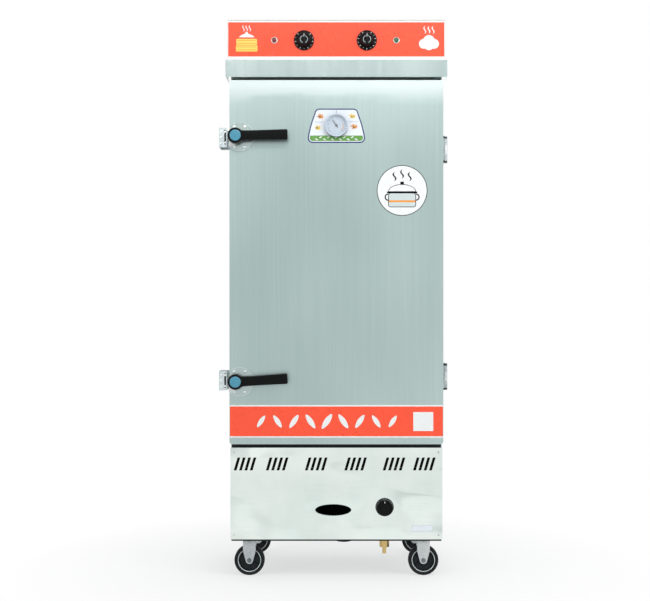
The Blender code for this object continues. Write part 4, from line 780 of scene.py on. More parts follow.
HEAPS = (("orange_print", ((-0.0505, 1.4650), (0.0565, 1.4325))),
         ("yellow_print", ((-0.0590, 1.4290), (0.0505, 1.4655))))
for slot, places in HEAPS:
    heaps = [shape for n, (x, z) in enumerate(places)
             for shape in handful(MIDDLE + x, z, 0.017, 12, n + 0.4)]
    printed("gauge_plate_" + slot, slot, heaps, EDGE)
rows = [grain_outline(MIDDLE + 0.0125 * i, 1.3960 + 0.0035 * (-1) ** i, 0.011, 0.5 * (-1) ** i, 12)
        for i in range(-5, 6)]
printed("gauge_plate_rows", "white_film", rows, EDGE - 0.00025)
print("heaps", len(HEAPS) * 2, "grains at the foot", len(rows))

# %% [markdown]
# A dial is read by its marks: a long one every fifth step, short ones between, and a coloured arc
# for the working range. They lie on a face disc at the bottom of the case, under the glass. The
# pointer turns on its own body, so nothing of the face rides on it.

# %% The face of the thermometer
FACE_RADIUS = 0.0298
FACE_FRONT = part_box("thermometer_needle")[1].y + 0.0006
DIAL_START, DIAL_SPAN = 225.0, 270.0


def tick(place, angle, inner, outer, half):
    """A short straight mark that points to the middle of a dial."""
    along = (math.cos(angle), math.sin(angle))
    side = (-along[1] * half, along[0] * half)
    return [(place[0] + along[0] * r + side[0] * s, place[1] + along[1] * r + side[1] * s)
            for r, s in ((inner, -1), (outer, -1), (outer, 1), (inner, 1))]


printed("gauge_face", "dial_face", [moved(circle(FACE_RADIUS, 56), *GAUGE)], FACE_FRONT + 0.0002,
        thick=0.0004)
marks = []
for i in range(51):
    angle = math.radians(DIAL_START - DIAL_SPAN * i / 50)
    long = i % 5 == 0
    marks.append(tick(GAUGE, angle, 0.0235 if long else 0.0258, 0.0282, 0.0004 if long else 0.0002))
printed("gauge_marks", "navy_print", marks, FACE_FRONT - 0.0002, thick=0.0002)
printed("gauge_working_range", "orange_print", [arc_band(*GAUGE, 0.0212, -45, 20, 0.0009)],
        FACE_FRONT - 0.0002, thick=0.0002)
print("marks", len(marks))

# %% [markdown]
# The case is a drawn ring with a rolled lip. It is turned: out from the door, over a round lip and
# back in to the glass, all in dark lacquer. The lip is what catches the light, so it has many steps.

# %% The thermometer's ring
case_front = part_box("thermometer_case")[0].y


def gauge_ring():
    outer, inner, lip = 0.0363, 0.0331, 0.0012
    profile = [(outer, DOOR_FACE - 0.0010), (outer, case_front + lip)]
    for i in range(1, 9):
        angle = math.pi * i / 8
        profile.append(((outer + inner) / 2 + (outer - inner) / 2 * math.cos(angle),
                        case_front + lip - lip * math.sin(angle)))
    profile += [(inner, FACE_FRONT + 0.0016), (outer - 0.0008, FACE_FRONT + 0.0016), profile[0]]
    return turned_piece("gauge_ring", profile, (GAUGE[0], 0.0, GAUGE[1]), "rim_lacquer", "door", steps=72)


print(gauge_ring().name)

# %% [markdown]
# A latch is a lever on a round boss with a coloured cap, and a cam behind it. The lever is a
# moulding: its sides draw in a little behind the boss, its end is round, and five low ribs lie
# across its face so that it can be gripped. The outline is cut as a plate with well rounded rims.

# %% Lever latches
LATCH_X = MIDDLE - 0.317
LATCHES = {"upper": (1.4007, math.radians(1.2)), "lower": (0.6273, math.radians(3.7))}
BOSS_RADIUS, CAP_RADIUS, LEVER_LENGTH, CAP_STANDS = 0.0246, 0.0174, 0.1637, 0.002
RIBS_ALONG = (0.076, 0.090, 0.104, 0.118, 0.132)
latch_front, latch_back = [corner.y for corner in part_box("latch_handle_upper")]


def turned_about(outline, place, angle):
    c, s = math.cos(angle), math.sin(angle)
    return [(place[0] + (x - place[0]) * c - (z - place[1]) * s,
             place[1] + (x - place[0]) * s + (z - place[1]) * c) for x, z in outline]


def lever_outline(z):
    """The lever from the front: a waist behind the boss, then a broad paddle with a round end."""
    upper = [(0.012, 0.0172), (0.024, 0.0157), (0.036, 0.0151), (0.060, 0.0151), (0.090, 0.0154),
             (0.120, 0.0158), (0.150, 0.0162), (0.1600, 0.0163), (0.1625, 0.0157),
             (LEVER_LENGTH, 0.0138), (LEVER_LENGTH + 0.0002, 0.0060)]
    points = [(LATCH_X + x, z + w) for x, w in upper]
    return points + [(LATCH_X + x, z - w) for x, w in reversed(upper)]


def cam_outline(z, root=0.016, nose=0.008, reach=0.032, steps=10):
    direction = math.radians(240)
    spread = math.acos((root - nose) / reach)
    tip = (LATCH_X + reach * math.cos(direction), z + reach * math.sin(direction))
    points = []
    for i in range(steps + 1):
        angle = direction - spread + 2 * spread * i / steps
        points.append((tip[0] + nose * math.cos(angle), tip[1] + nose * math.sin(angle)))
    for i in range(2 * steps + 1):
        angle = direction + spread + (2 * math.pi - 2 * spread) * i / (2 * steps)
        points.append((LATCH_X + root * math.cos(angle), z + root * math.sin(angle)))
    return points


def make_latch(name, z, tilt):
    lever = bmesh.new()
    boss_front = latch_front + CAP_STANDS
    outline = turned_about(lever_outline(z), (LATCH_X, z), tilt)
    add_prism(lever, outline, boss_front + 0.0035, boss_front + 0.0165, 0.0032, 4)
    edge = 0.004
    profile = [(0, latch_back - 0.007), (BOSS_RADIUS - 0.001, latch_back - 0.007),
               (BOSS_RADIUS, latch_back - 0.0085), (BOSS_RADIUS, boss_front + edge)]
    profile += quarter(edge, edge, BOSS_RADIUS - edge, boss_front + edge)
    profile += [(CAP_RADIUS + 0.0012, boss_front), (CAP_RADIUS + 0.0008, boss_front + 0.0012),
                (0, boss_front + 0.0012)]
    add_turned(lever, profile, (LATCH_X, 0.0, z), "Y", 56)
    body = "latch_" + name
    moulding = keep("lever_" + name, lever, "black_plastic", body, ("latch_handle_" + name,))
    cam = bmesh.new()
    add_prism(cam, turned_about(cam_outline(z), (LATCH_X, z), tilt),
              latch_back - 0.0069, latch_back, 0.0008, 2)
    keep("cam_" + name, cam, "zinc", body)
    crown = [(0, boss_front + 0.001), (CAP_RADIUS, boss_front + 0.001), (CAP_RADIUS, boss_front - 0.0004)]
    crown += quarter(CAP_RADIUS, 0.0014, 0, boss_front - 0.0004)[:-1] + [(0, boss_front - 0.0018)]
    turned_piece("cap_" + name, crown, (LATCH_X, 0.0, z), "blue_plastic", body)
    grip = bmesh.new()
    for x in RIBS_ALONG:
        rib = field(LATCH_X + x, z, 0.0022, 0.0112, 0.002)
        add_prism(grip, turned_about(rib, (LATCH_X, z), tilt),
                  boss_front + 0.0029, boss_front + 0.0050, 0.0004, 1)
    keep("lever_ribs_" + name, grip, "black_plastic", body)
    return moulding


for name, (z, tilt) in LATCHES.items():
    print(make_latch(name, z, tilt).name, "tilted", round(math.degrees(tilt), 1), "degrees")

# %% [markdown]
# Small things show how a cabinet is put together. One screw is made once as a shape, a round head
# with a cross recess, and set wherever the real cabinet has one. It can face any way, so the same
# function serves the latch plates, the keepers, the hinges, the skirt and the back.

# %% Screws
FACING = {"-Y": Matrix.Identity(4), "+Y": Matrix.Rotation(math.pi, 4, "Z"),
          "-X": Matrix.Rotation(-math.pi / 2, 4, "Z"), "+X": Matrix.Rotation(math.pi / 2, 4, "Z"),
          "+Z": Matrix.Rotation(-math.pi / 2, 4, "X"), "-Z": Matrix.Rotation(math.pi / 2, 4, "X")}


def add_screw(form, place, facing, radius=0.0042, height=0.0018, turn=0.3):
    """A pan head with a cross recess; its flat back lies at the place."""
    head = bmesh.new()
    crown = [(0, 0.0004), (radius, 0.0004), (radius, -height * 0.35), (radius * 0.9, -height * 0.72),
             (radius * 0.62, -height * 0.95), (0, -height)]
    add_turned(head, crown, (0, 0, 0), "Y", 20)
    arm, width = radius * 0.58, radius * 0.15
    cross = [(width, width), (width, arm), (-width, arm), (-width, width), (-arm, width), (-arm, -width),
             (-width, -width), (-width, -arm), (width, -arm), (width, -width), (arm, -width), (arm, width)]
    add_prism(head, turned_about(cross, (0, 0), turn), -height - 0.00015, -height * 0.7)
    add_copy(form, head, Matrix.Translation(place) @ FACING[facing])


def screws(name, places, facing, body, slot="zinc", radius=0.0042, height=0.0018):
    chance = random.Random(len(places) * 7 + int(radius * 10000))
    form = bmesh.new()
    for place in places:
        add_screw(form, place, facing, radius, height, chance.uniform(0, math.pi / 2))
    print(name, len(places), "screws")
    return keep(name, form, slot, body)


plate_low, plate_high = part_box("latch_plate_upper")
plate_front = plate_high.y - HAIR - 0.003
PLATE_RADIUS = (plate_high.z - plate_low.z) / 2 - 0.0010
PLATE_X = plate_high.x - PLATE_RADIUS - 0.0010
PLATE_REACH = math.degrees(math.acos(max(-1.0, (plate_low.x + 0.0015 - PLATE_X) / PLATE_RADIUS)))
for name, (z, tilt) in LATCHES.items():
    spots = [(LATCH_X + 0.0107 + 0.036 * math.cos(math.radians(a)), plate_front + 0.00025,
              z + 0.036 * math.sin(math.radians(a))) for a in (62, 118, 242, 298)]
    # Painted highlight: a thin pale ring along the plate's edge stands for the light that edge catches.
    printed("plate_rim_" + name, "pale_zinc",
            [arc_band(PLATE_X, z, PLATE_RADIUS, start * PLATE_REACH, (start + 1) * PLATE_REACH, 0.0008, 40)
             for start in (-1, 0)], plate_front, "door", 0.0008)
    screws("plate_screws_" + name, spots, "-Y", "door", "bright_steel", 0.0040, 0.0016)
    keeper_low, keeper_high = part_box("latch_keeper_" + name)
    side = body_low.x - 0.0030 - HAIR
    screws("keeper_screws_" + name, [(side, keeper_high.y - 0.016, keeper_low.z + h)
                                     for h in (0.013, 0.049)], "-X", "root", "zinc", 0.0042)
    level = (keeper_low.z + keeper_high.z) / 2
    lip = (keeper_low.x + 0.0125, keeper_low.y)
    # Painted shade: a black rounded slab on the keeper's lip stands for the shade in its recess, with two
    # screws on it.
    form = bmesh.new()
    recess_shade_x = lip[0] + 0.0070
    add_prism(form, field(recess_shade_x, level, 0.0026, 0.0230, 0.0024), lip[1] - HAIR, lip[1])
    keep("keeper_slot_" + name, form, "black_print", "root")
    spots = [(lip[0] - 0.0052, lip[1], level + up) for up in (-0.019, 0.0, 0.019)]
    spots += [(recess_shade_x, lip[1] - HAIR, level + up) for up in (-0.017, 0.017)]
    screws("keeper_front_screws_" + name, spots, "-Y", "root", "bright_steel", 0.0032, 0.0014)
for name in ("upper", "lower"):
    leaf_low, leaf_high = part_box("hinge_body_leaf_" + name)
    level = (leaf_low.z + leaf_high.z) / 2
    screws("hinge_screws_" + name, [(body_high.x + 0.0030 + HAIR, leaf_high.y - back, level + up)
                                    for back, up in ((0.014, 0.028), (0.014, -0.028), (0.040, 0.0))],
           "+X", "root", "zinc", 0.0042)
print("plate front", round(plate_front, 4))

# %% [markdown]
# Round the door there are dark lines, where the light doesn't reach: along the sill, under the hood and under
# the skirt.
# Thin strips in the black rubber finish lie there on the frame, just clear of the door, as painted shade in
# these gaps.

# %% Painted shade in the gaps above and below the door and under the skirt
def strip(name, slot, low, high, body="root", edge=0.0006):
    form = bmesh.new()
    add_slab(form, low, high, edge)
    return keep(name, form, slot, body)


GAP_SHADE_DEPTH = 0.028
# Painted shade: a dark strip in the gap between the skirt's top and the door.
strip("sill_seal", "rubber", (body_low.x + 0.004, body_low.y - GAP_SHADE_DEPTH, skirt_high.z + 0.0004),
      (body_high.x - 0.004, body_low.y - HAIR, door_low.z - 0.0010))
# Painted shade: a dark strip in the gap between the door and the hood.
strip("hood_seal", "rubber", (body_low.x + 0.006, body_low.y - GAP_SHADE_DEPTH, door_high.z + 0.0012),
      (body_high.x - 0.006, body_low.y - HAIR, hood_low.z - 0.0004))
# Painted shade: a dark strip under the skirt's lower edge.
strip("skirt_seal", "rubber", (skirt_low.x + 0.003, skirt_low.y + 0.0018, skirt_low.z - 0.0050),
      (skirt_high.x - 0.003, skirt_low.y + 0.0120, skirt_low.z - 0.0002))
print("gap_shade_strips", 3)

# %% [markdown]
# The control panel is a printed film on the front of the box: a white sheet whose red field leaves
# a white rim, broad at the foot. Over it lies a print of its own design. The box behind stays
# plain steel; a thin black strip along its top edge is painted shade.

# %% The control panel
PANEL_FACE = panel_low.y
FIELD_X = (MIDDLE - 0.3412, MIDDLE + 0.3405)
FIELD_Z = (1.6532, 1.7610)
film_slab("panel_white", "white_film", (panel_low.x + 0.0004, panel_high.x - 0.0004),
          (panel_low.z + 0.0004, panel_high.z - 0.0012), PANEL_FACE, "root")
film_slab("panel_red", "red_panel", FIELD_X, FIELD_Z, PANEL_FACE - HAIR, "root")
# Painted shade: a thin black strip along the top edge of the box's front.
strip("panel_top_line", "black_print", (panel_low.x + 0.0004, PANEL_FACE - 0.0004, panel_high.z - 0.0012),
      (panel_high.x - 0.0004, PANEL_FACE + 0.0018, panel_high.z - 0.0001), edge=0.0002)
FIELD_FACE = PANEL_FACE - 2 * HAIR
BASKETS = (MIDDLE - 0.283, 1.668)
bx, bz = BASKETS
LEVELS = [bz + 0.0105 + i * 0.0205 for i in range(2)]
tiers = [field(bx, level, 0.0340 - 0.0015 * i, 0.0095, 0.0030) for i, level in enumerate(LEVELS)]
printed("panel_baskets", "yellow_print", tiers, FIELD_FACE, "root")
printed("panel_basket_lines", "orange_print",
        [field(bx, level + up, 0.0310 - 0.0015 * i, 0.0011, 0.0005)
         for i, level in enumerate(LEVELS) for up in (-0.0045, 0.0045)], FIELD_FACE - 0.00025, "root")
lid = [(a, b) for a, b in moved(circle(0.0330, 44), bx, bz + 0.0240) if b >= bz + 0.0420]
printed("panel_lid", "white_film", [lid, field(bx, bz + 0.0590, 0.0045, 0.0030, 0.0025)],
        FIELD_FACE, "root")
printed("panel_basket_curls", "white_film",
        [curl(bx + x, bz + 0.0640, 0.0200, 0.0025, 0.0016) for x in (-0.010, 0.0, 0.010)],
        FIELD_FACE, "root")


def puff_outline(x, z, puffs, steps=72):
    """The outline round several circles that overlap, seen from a point inside all of it."""
    points = []
    for i in range(steps):
        angle = 2 * math.pi * i / steps
        ray = Vector((math.cos(angle), math.sin(angle)))
        reach = 0.0
        for a, b, radius in puffs:
            along = ray.dot((a, b))
            off = a * a + b * b - along * along
            if off < radius * radius:
                reach = max(reach, along + math.sqrt(radius * radius - off))
        points.append((x + ray.x * reach, z + ray.y * reach))
    return points


CLOUD = (MIDDLE + 0.292, 1.695)
PUFFS = ((-0.016, -0.002, 0.0155), (0.0, 0.007, 0.0185), (0.016, -0.002, 0.0155), (0.0, -0.007, 0.0150))
printed("panel_cloud", "white_film", [puff_outline(*CLOUD, PUFFS)], FIELD_FACE, "root")
printed("panel_curls", "white_film",
        [curl(CLOUD[0] + x, CLOUD[1] + 0.030, 0.024, 0.0028, 0.0020) for x in (-0.013, 0.0, 0.013)],
        FIELD_FACE, "root")
print("panel field", round(FIELD_X[1] - FIELD_X[0], 3), "by", round(FIELD_Z[1] - FIELD_Z[0], 3))

# %% [markdown]
# A control knob has three parts that a finger tells apart: a skirt with marks, a fluted barrel and
# a face with a pointer. The flutes are a wave on the radius of a turned piece, so they are real
# shape. Dots and the small mark on the face are white paint.

# %% Knobs on the panel
def measured(node):
    """The two corners of a solid's box, and its middle as seen from the front."""
    low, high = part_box(node)
    return low, high, (low.x + high.x) / 2, (low.z + high.z) / 2


def control_knob(node, body, marks_shown, gap):
    low, high, x, z = measured(node)
    radius = (high.x - low.x) / 2
    back = PANEL_FACE - 3 * HAIR
    front = low.y
    form = bmesh.new()

    def flutes(angle, far):
        inside = back - 0.0215 < far < back - 0.0052
        return 1.0 - (0.035 * max(0.0, math.cos(24 * angle)) if inside else 0.0)

    profile = [(0, back), (radius - 0.0008, back), (radius, back - 0.0010), (radius, back - 0.0028),
               (radius - 0.0012, back - 0.0038), (radius * 0.74, back - 0.0046),
               (radius * 0.70, back - 0.0060), (radius * 0.675, back - 0.0120),
               (radius * 0.66, back - 0.0190), (radius * 0.62, back - 0.0212),
               (radius * 0.54, back - 0.0222), (radius * 0.50, back - 0.0214), (0, back - 0.0210)]
    add_turned(form, profile, (x, 0.0, z), "Y", 144, flutes)
    add_prism(form, field(x, z, 0.0042, radius * 0.60, 0.0035), front + 0.0002, back - 0.0200, 0.0010)
    keep(node + "_moulding", form, "black_plastic", body, (node,))
    dots = []
    for i in range(marks_shown):
        angle = math.radians(90 - gap / 2 - (360 - gap) * i / (marks_shown - 1))
        place = (x + radius * 0.86 * math.cos(angle), z + radius * 0.86 * math.sin(angle))
        if i % 2:
            dots.append(moved(circle(0.0010, 10), *place))
        else:
            dots.append(tick((x, z), angle, radius * 0.79, radius * 0.94, 0.0007))
    printed(node + "_marks", "white_film", dots, back - 0.0041, body, 0.0006)
    printed(node + "_ring", "ring_plastic",
            [arc_band(x, z, radius * 0.36, a, a + 180, 0.0006, 24) for a in (0, 180)],
            back - 0.0210, body, 0.0006)
    printed(node + "_pointer", "white_film", [field(x, z + radius * 0.40, 0.0008, radius * 0.15, 0.0007)],
            front + 0.0003, body, 0.0005)


control_knob("thermostat_knob", "thermostat_dial", 11, 90)
control_knob("timer_knob", "timer_dial", 13, 60)

# %% [markdown]
# A signal lamp is a bright bezel screwed over a small domed lens. The bezel is turned with a groove
# and a chamfer; the lens is a shallow dome that catches one highlight.

# %% Signal lamps
def signal_lamp(node, slot):
    low, high, x, z = measured(node)
    back = PANEL_FACE - 2.5 * HAIR
    profile = [(0.0074, back), (0.0105, back), (0.0105, back - 0.0014), (0.0100, back - 0.0018),
               (0.0098, back - 0.0034), (0.0090, back - 0.0043), (0.0080, back - 0.0046),
               (0.0074, back - 0.0040), (0.0074, back)]
    shown = turned_piece(node + "_bezel", profile, (x, 0.0, z), "bright_steel", "root")
    dome = [(0, back - 0.0002), (0.0073, back - 0.0002), (0.0073, back - 0.0040)]
    dome += [(0.0073 * math.cos(math.radians(a)), back - 0.0040 - 0.0035 * math.sin(math.radians(a)))
             for a in range(10, 90, 10)] + [(0, back - 0.0075)]
    turned_piece(node + "_lens", dome, (x, 0.0, z), slot, "root", steps=40)
    rear = [(0, high.y), (0.0060, high.y), (0.0078, high.y - 0.002), (0.0078, PANEL_FACE + 0.004),
            (0, PANEL_FACE + 0.004)]
    turned_piece(node + "_barrel", rear, (x, 0.0, z), "black_plastic", "root", (node,), 28)
    return shown


for node, slot in (("lamp_red", "red_lens"), ("lamp_green", "green_lens")):
    print(signal_lamp(node, slot).name)

# %% [markdown]
# The gas knob on the skirt is a plainer moulding: a drum with a fluted rim, pressed in a little at
# its face, with one white mark for the closed position.

# %% The gas knob
def gas_dial():
    low, high, x, z = measured("gas_knob")
    radius, front = (high.x - low.x) / 2 * 0.98, low.y
    back = skirt_low.y - 2 * HAIR

    def flutes(angle, far):
        inside = front + 0.0030 < far < back - 0.0060
        return 1.0 - (0.030 * max(0.0, math.cos(18 * angle)) if inside else 0.0)

    profile = [(0, back), (radius - 0.0010, back), (radius - 0.0002, back - 0.0010),
               (radius - 0.0002, back - 0.0050), (radius - 0.0010, back - 0.0062),
               (radius - 0.0016, front + 0.0040), (radius - 0.0030, front + 0.0014),
               (radius - 0.0056, front + 0.0001), (radius - 0.0078, front + 0.0006),
               (radius - 0.0090, front + 0.0020), (0, front + 0.0024)]
    turned_piece("gas_dial", profile, (x, 0.0, z), "black_plastic", "gas_dial", ("gas_knob",), 108, flutes)
    printed("gas_dial_mark", "white_film", [field(x, z + radius * 0.66, 0.0011, 0.0034, 0.0010)],
            front + 0.0019, "gas_dial", 0.0008)
    face = skirt_low.y
    ring = [(radius * 0.5, face), (radius + 0.0010, face), (radius + 0.0008, face - 0.0004),
            (radius * 0.5, face - 0.0004), (radius * 0.5, face)]
    turned_piece("gas_dial_collar", ring, (x, 0.0, z), "black_print", "root", steps=56)
    return radius


print("gas knob radius", round(gas_dial(), 4))

# %% [markdown]
# The skirt needs its small fittings: a bare rating plate, screws at its corners,
# and a folded rim round the oval window, since raw sheet would cut a finger.

# %% Fittings on the skirt
SKIRT_FACE = skirt_low.y
RATING_X, RATING_Z = (MIDDLE + 0.240, MIDDLE + 0.305), (0.1495, 0.1705)
RATING_RIM, RATING_THICK = 0.0015, 0.0007
film_slab("rating_plate", "ring_plastic", RATING_X, RATING_Z, SKIRT_FACE, "root", RATING_THICK, 0.0015)
film_slab("rating_plate_field", "pale_print", (RATING_X[0] + RATING_RIM, RATING_X[1] - RATING_RIM),
          (RATING_Z[0] + RATING_RIM, RATING_Z[1] - RATING_RIM), SKIRT_FACE - RATING_THICK, "root",
          0.0002, 0.001)
screws("skirt_screws", [(MIDDLE + side * 0.3245, SKIRT_FACE, z)
                        for side in (-1, 1) for z in (0.1400, 0.4020)], "-Y", "root", "zinc", 0.0034, 0.0014)
for name, x, facing in (("left", skirt_low.x, "-X"), ("right", skirt_high.x, "+X")):
    screws("skirt_side_screws_" + name, [(x, SKIRT_FACE + 0.016, z) for z in (0.160, 0.270, 0.380)],
           facing, "root", "zinc", 0.0034, 0.0014)


OVAL, OVAL_HALF_LONG, OVAL_HALF_HIGH = (MIDDLE - 0.010, 0.219), 0.057, 0.018


def window_rim(x, z, half_long, half_high, thick=0.0007, steps=56):
    """A rolled rim that follows the oval hole."""
    form = bmesh.new()
    rings = []
    for i in range(steps):
        angle = 2 * math.pi * i / steps
        out = Vector((math.cos(angle) / half_long, 0, math.sin(angle) / half_high)).normalized()
        centre = Vector((x + half_long * math.cos(angle), SKIRT_FACE - 0.0001,
                         z + half_high * math.sin(angle)))
        turns = [2 * math.pi * k / 8 for k in range(8)]
        rings.append([form.verts.new(centre + out * thick * math.cos(turn)
                                     + Vector((0, thick, 0)) * math.sin(turn)) for turn in turns])
    for i, ring in enumerate(rings):
        other = rings[(i + 1) % steps]
        for k in range(8):
            form.faces.new((ring[k], ring[(k + 1) % 8], other[(k + 1) % 8], other[k]))
    bmesh.ops.recalc_face_normals(form, faces=form.faces)
    return keep("window_rim", form, "dark_zinc", "root")


print(window_rim(*OVAL, OVAL_HALF_LONG, OVAL_HALF_HIGH).name)

# %% [markdown]
# A wheel is three mouldings: a black tread with rounded shoulders, a pale ring pressed into its
# side, and a ribbed hub. The tread and ring are turned; the hub gets ribs from thin slabs.

# %% Wheels
TREAD, AXLE_LEVEL, SHOULDER = 0.0487, 0.048764, 0.0045


def both_sides(half_profile):
    """A profile with its mirror image, closed."""
    return half_profile + [(r, -h) for r, h in reversed(half_profile)] + [half_profile[0]]


def make_wheel(name):
    low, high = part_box(name)
    place = ((low.x + high.x) / 2, (low.y + high.y) / 2, AXLE_LEVEL)
    half = (high.y - low.y) / 2
    shoulder = [(TREAD - SHOULDER + SHOULDER * math.sin(a), -half + SHOULDER - SHOULDER * math.cos(a))
                for a in (0.4, 0.8, 1.2)]
    tyre = both_sides([(0.0372, -half + 0.0014), (0.0385, -half + 0.0006), (TREAD - SHOULDER, -half)]
                      + shoulder + [(TREAD, -half + 0.0056)])
    turned_piece(name + "_tread", tyre, place, "rubber", name, (name,), 72)
    ring = bmesh.new()
    for side in (-1, 1):
        face = side * half
        profile = [(0.0350, face - side * 0.0030), (0.0353, face - side * 0.0004), (0.0359, face),
                   (0.0370, face), (0.0376, face - side * 0.0005), (0.0376, face - side * 0.0030),
                   (0.0350, face - side * 0.0030)]
        add_turned(ring, profile, place, "Y", 72)
    merge(ring)
    keep(name + "_rings", ring, "ring_plastic", name)
    hub = bmesh.new()
    web = 0.0045
    profile = [(0.0058, -half + 0.0002), (0.0135, -half + 0.0002), (0.0142, -half + 0.0012),
               (0.0146, -web), (0.0330, -web), (0.0336, -half + 0.0022), (0.0352, -half + 0.0018)]
    add_turned(hub, both_sides(profile), place, "Y", 60)
    for k in range(6):
        angle = math.radians(60 * k + 30)
        rib = bmesh.new()
        add_slab(rib, (0.0138, -half + 0.0035, -0.0011), (0.0340, half - 0.0035, 0.0011), 0.0004, 1)
        add_copy(hub, rib, Matrix.Translation(place) @ Matrix.Rotation(angle, 4, "Y"))
    merge(hub)
    keep(name + "_hub", hub, "hub_plastic", name)


for name in sorted(frame["nodes"]):
    if name.startswith("wheel_"):
        make_wheel(name)
print("wheels, radius", TREAD)

# %% [markdown]
# The forks are pressed from sheet: each cheek narrows to the axle and ends round, with a pressed
# rib down its middle. The plate above is bolted to the floor of the base. The fixed forks in front
# are made new here; the swivelling ones at the back keep their solids and get their bolts.

# %% Forks and plate bolts
def cheek_outline(x, top):
    half_top = 0.0205
    right = [(half_top, top), (half_top, 0.0800), (0.0170, 0.0660), (0.0125, 0.0500)]
    foot = [(0.0118 * math.cos(math.radians(-a)), AXLE_LEVEL - 0.0115 * math.sin(math.radians(a)))
            for a in range(15, 90, 15)]
    right += foot
    return [(x + a, b) for a, b in right] + [(x, 0.0373)] + [(x - a, b) for a, b in reversed(right)]


CHEEK_BACK, CHEEK_FRONT, WASHER = 0.0170, 0.0200, 0.0008


def fixed_fork(name):
    low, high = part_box(name)
    x, y = (low.x + high.x) / 2, (low.y + high.y) / 2
    form, bolt = bmesh.new(), bmesh.new()
    add_slab(form, (low.x, low.y, high.z - 0.0035), (high.x, high.y, high.z), 0.0010, 2)
    for side in (-1, 1):
        start, end = sorted((y + side * CHEEK_BACK, y + side * CHEEK_FRONT))
        add_prism(form, cheek_outline(x, high.z - 0.003), start, end, 0.0006, 2)
        face = y + side * CHEEK_FRONT
        rib = [(x - 0.0030, 0.0640), (x + 0.0030, 0.0640), (x + 0.0062, 0.1120), (x - 0.0062, 0.1120)]
        start, end = sorted((face - side * 0.0004, face + side * 0.0012))
        add_prism(form, rib, start, end, 0.0005, 2)
        outside = face + side * WASHER
        add_turned(bolt, [(0, face), (0.0074, face), (0.0074, outside), (0, outside)],
                   (x, 0.0, AXLE_LEVEL), "Y", 28)
        start, end = sorted((outside, face + side * 0.0046))
        add_prism(bolt, moved(circle(0.0064, 6), x, AXLE_LEVEL), start, end, 0.0005, 2)
    keep(name + "_pressing", form, "zinc", "root", (name,))
    add_turned(bolt, [(0, y - 0.0195), (0.0048, y - 0.0195), (0.0048, y + 0.0195), (0, y + 0.0195)],
               (x, 0.0, AXLE_LEVEL), "Y", 24)
    keep(name + "_axle", bolt, "dark_zinc", "root")


for name in ("front_fork_left", "front_fork_right"):
    fixed_fork(name)
bolts = []
for name in ("front_fork_left", "front_fork_right", "rear_caster_plate_left", "rear_caster_plate_right"):
    low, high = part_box(name)
    bolts += [(x, y, high.z - 0.0035) for x in (low.x + 0.012, high.x - 0.012)
              for y in (low.y + 0.012, high.y - 0.012)]
form = bmesh.new()
for x, y, z in bolts:
    head = bmesh.new()
    add_prism(head, circle(0.0065, 6), 0.0, 0.0045, 0.0005, 2)
    add_copy(form, head, Matrix.Translation((x, y, z)) @ Matrix.Rotation(-math.pi / 2, 4, "X"))
keep("plate_bolts", form, "zinc", "root")
print("bolts", len(bolts))

# %% [markdown]
# Inside, the base is lined with thin black sheets as painted shade, so the oval window and the slots
# look dark. The sheets lie a hair away from the steel, on the walls, the skirt's back and the
# underside of the tank. Fine bars over the air openings keep rodents out and stop stray light as
# well; they are black too, as painted shade.

# %% The painted shade inside the base
floor_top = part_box("base_floor")[1].z
flue_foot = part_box("flue_duct")[0].z
tank_low, tank_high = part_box("water_tank")
back_low, back_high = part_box("back_panel")
SHADE_SHEET_THICK, OFF = 0.0006, 0.0018


# A thin black sheet: painted shade on the inside of the base.
def shade_sheet(name, low, high):
    return strip(name, "black_print", low, high, edge=0.0)


base_top = skirt_high.z - 0.002
base_foot = floor_top + 0.0006
shade_sheet("coat_left", (body_low.x + OFF, body_low.y + 0.002, base_foot),
     (body_low.x + OFF + SHADE_SHEET_THICK, back_low.y - 0.002, base_top))
shade_sheet("coat_right", (body_high.x - OFF - SHADE_SHEET_THICK, body_low.y + 0.002, base_foot),
     (body_high.x - OFF, back_low.y - 0.002, base_top))
shade_sheet("coat_front", (tank_low.x - 0.020, tank_low.y - 0.0016 - SHADE_SHEET_THICK, tank_low.z + 0.001),
     (tank_high.x + 0.020, tank_low.y - 0.0016, base_top))
shade_sheet("coat_back", (body_low.x + 0.003, back_low.y - 0.0014 - SHADE_SHEET_THICK, base_foot),
     (body_high.x - 0.003, back_low.y - 0.0014, flue_foot - 0.004))
shade_sheet("coat_tank", (tank_low.x + 0.002, tank_low.y + 0.002, tank_low.z - 0.0006 - SHADE_SHEET_THICK),
     (tank_high.x - 0.002, tank_high.y - 0.002, tank_low.z - 0.0006))
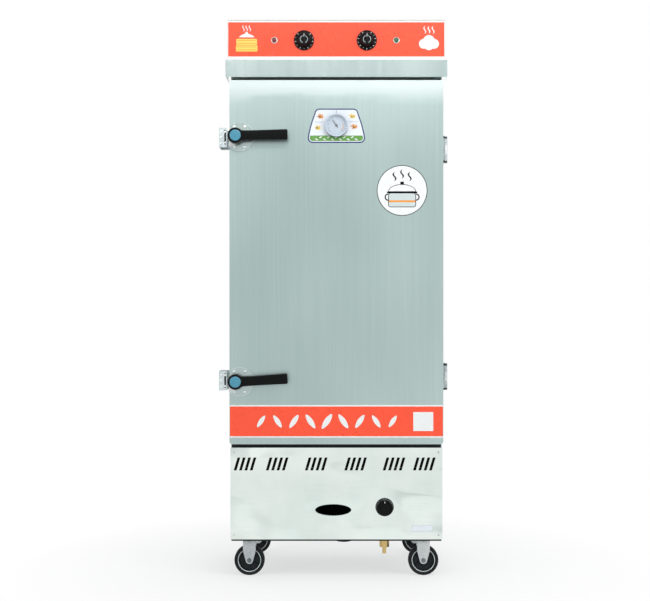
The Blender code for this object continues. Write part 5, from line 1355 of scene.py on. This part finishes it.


# Black bars: painted shade over the air openings, which also stops light from the floor.
def air_grille(name, x_low, x_high, y_low, y_high, pitch=0.0075, bar=0.0024):
    form = bmesh.new()
    z = floor_top + 0.0004
    count_x = int((x_high - x_low) / pitch)
    count_y = int((y_high - y_low) / pitch)
    for i in range(1, count_x):
        x = x_low + (x_high - x_low) * i / count_x
        add_slab(form, (x - bar / 2, y_low - 0.008, z), (x + bar / 2, y_high + 0.008, z + 0.0016))
    for i in range(1, count_y):
        y = y_low + (y_high - y_low) * i / count_y
        add_slab(form, (x_low - 0.008, y - bar / 2, z + 0.0016), (x_high + 0.008, y + bar / 2, z + 0.0032))
    keep(name, form, "black_print", "root")
    return count_x + count_y - 2


AIR_NEAR, AIR_FAR = 0.040, 0.290
AIR_Y = (body_low.y + 0.130, body_low.y + 0.310)
print("bars", air_grille("air_grille_left", MIDDLE - AIR_FAR, MIDDLE - AIR_NEAR, *AIR_Y),
      air_grille("air_grille_right", MIDDLE + AIR_NEAR, MIDDLE + AIR_FAR, *AIR_Y))

# %% [markdown]
# The back is a flat panel that comes off for service, with screws all round it. It is set in a
# millimetre between the folded sides, so the screw heads don't stand out and the cabinet can be
# pushed against a wall. The sides carry a row of rivets near the front, where the frame is fixed.

# %% The back and the sides
BACK_FACE = back_high.y - 0.0010
INSET = 0.012
back_sheet = strip("back_sheet", "brushed_steel", (back_low.x + HAIR, BACK_FACE - 0.0004, back_low.z),
                   (back_high.x - HAIR, BACK_FACE, back_high.z), edge=0.0)
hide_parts("back_panel")
back_screws = [(back_low.x + INSET + (back_high.x - back_low.x - 2 * INSET) * i / 4, BACK_FACE, z)
               for i in range(5) for z in (back_low.z + INSET, back_high.z - INSET)]
back_screws += [(x, BACK_FACE, back_low.z + INSET + (back_high.z - back_low.z - 2 * INSET) * i / 7)
                for i in range(1, 7) for x in (back_low.x + INSET, back_high.x - INSET)]
screws("back_screws", back_screws, "+Y", "root", "zinc", 0.0044, 0.0008)
rivet_form = bmesh.new()
rivet_count = 0
RIVETS, RIVET_PITCH, RIVET_START, RIVET_RADIUS, RIVET_BACK = 11, 0.118, 0.030, 0.0030, 0.072
for side, face in ((-1, body_low.x), (1, body_high.x)):
    for i in range(RIVETS):
        z = skirt_high.z + RIVET_START + i * RIVET_PITCH
        turns = [math.radians(a) for a in (0, 25, 50, 75)]
        crown = [(0, face)] + [(RIVET_RADIUS * math.cos(a), face + side * (0.0001 + 0.0010 * math.sin(a)))
                               for a in turns] + [(0, face + side * 0.0011)]
        add_turned(rivet_form, crown, (0, body_low.y + RIVET_BACK, z), "X", 18)
        rivet_count += 1
keep("side_rivets", rivet_form, "zinc", "root")
print("rivets", rivet_count)
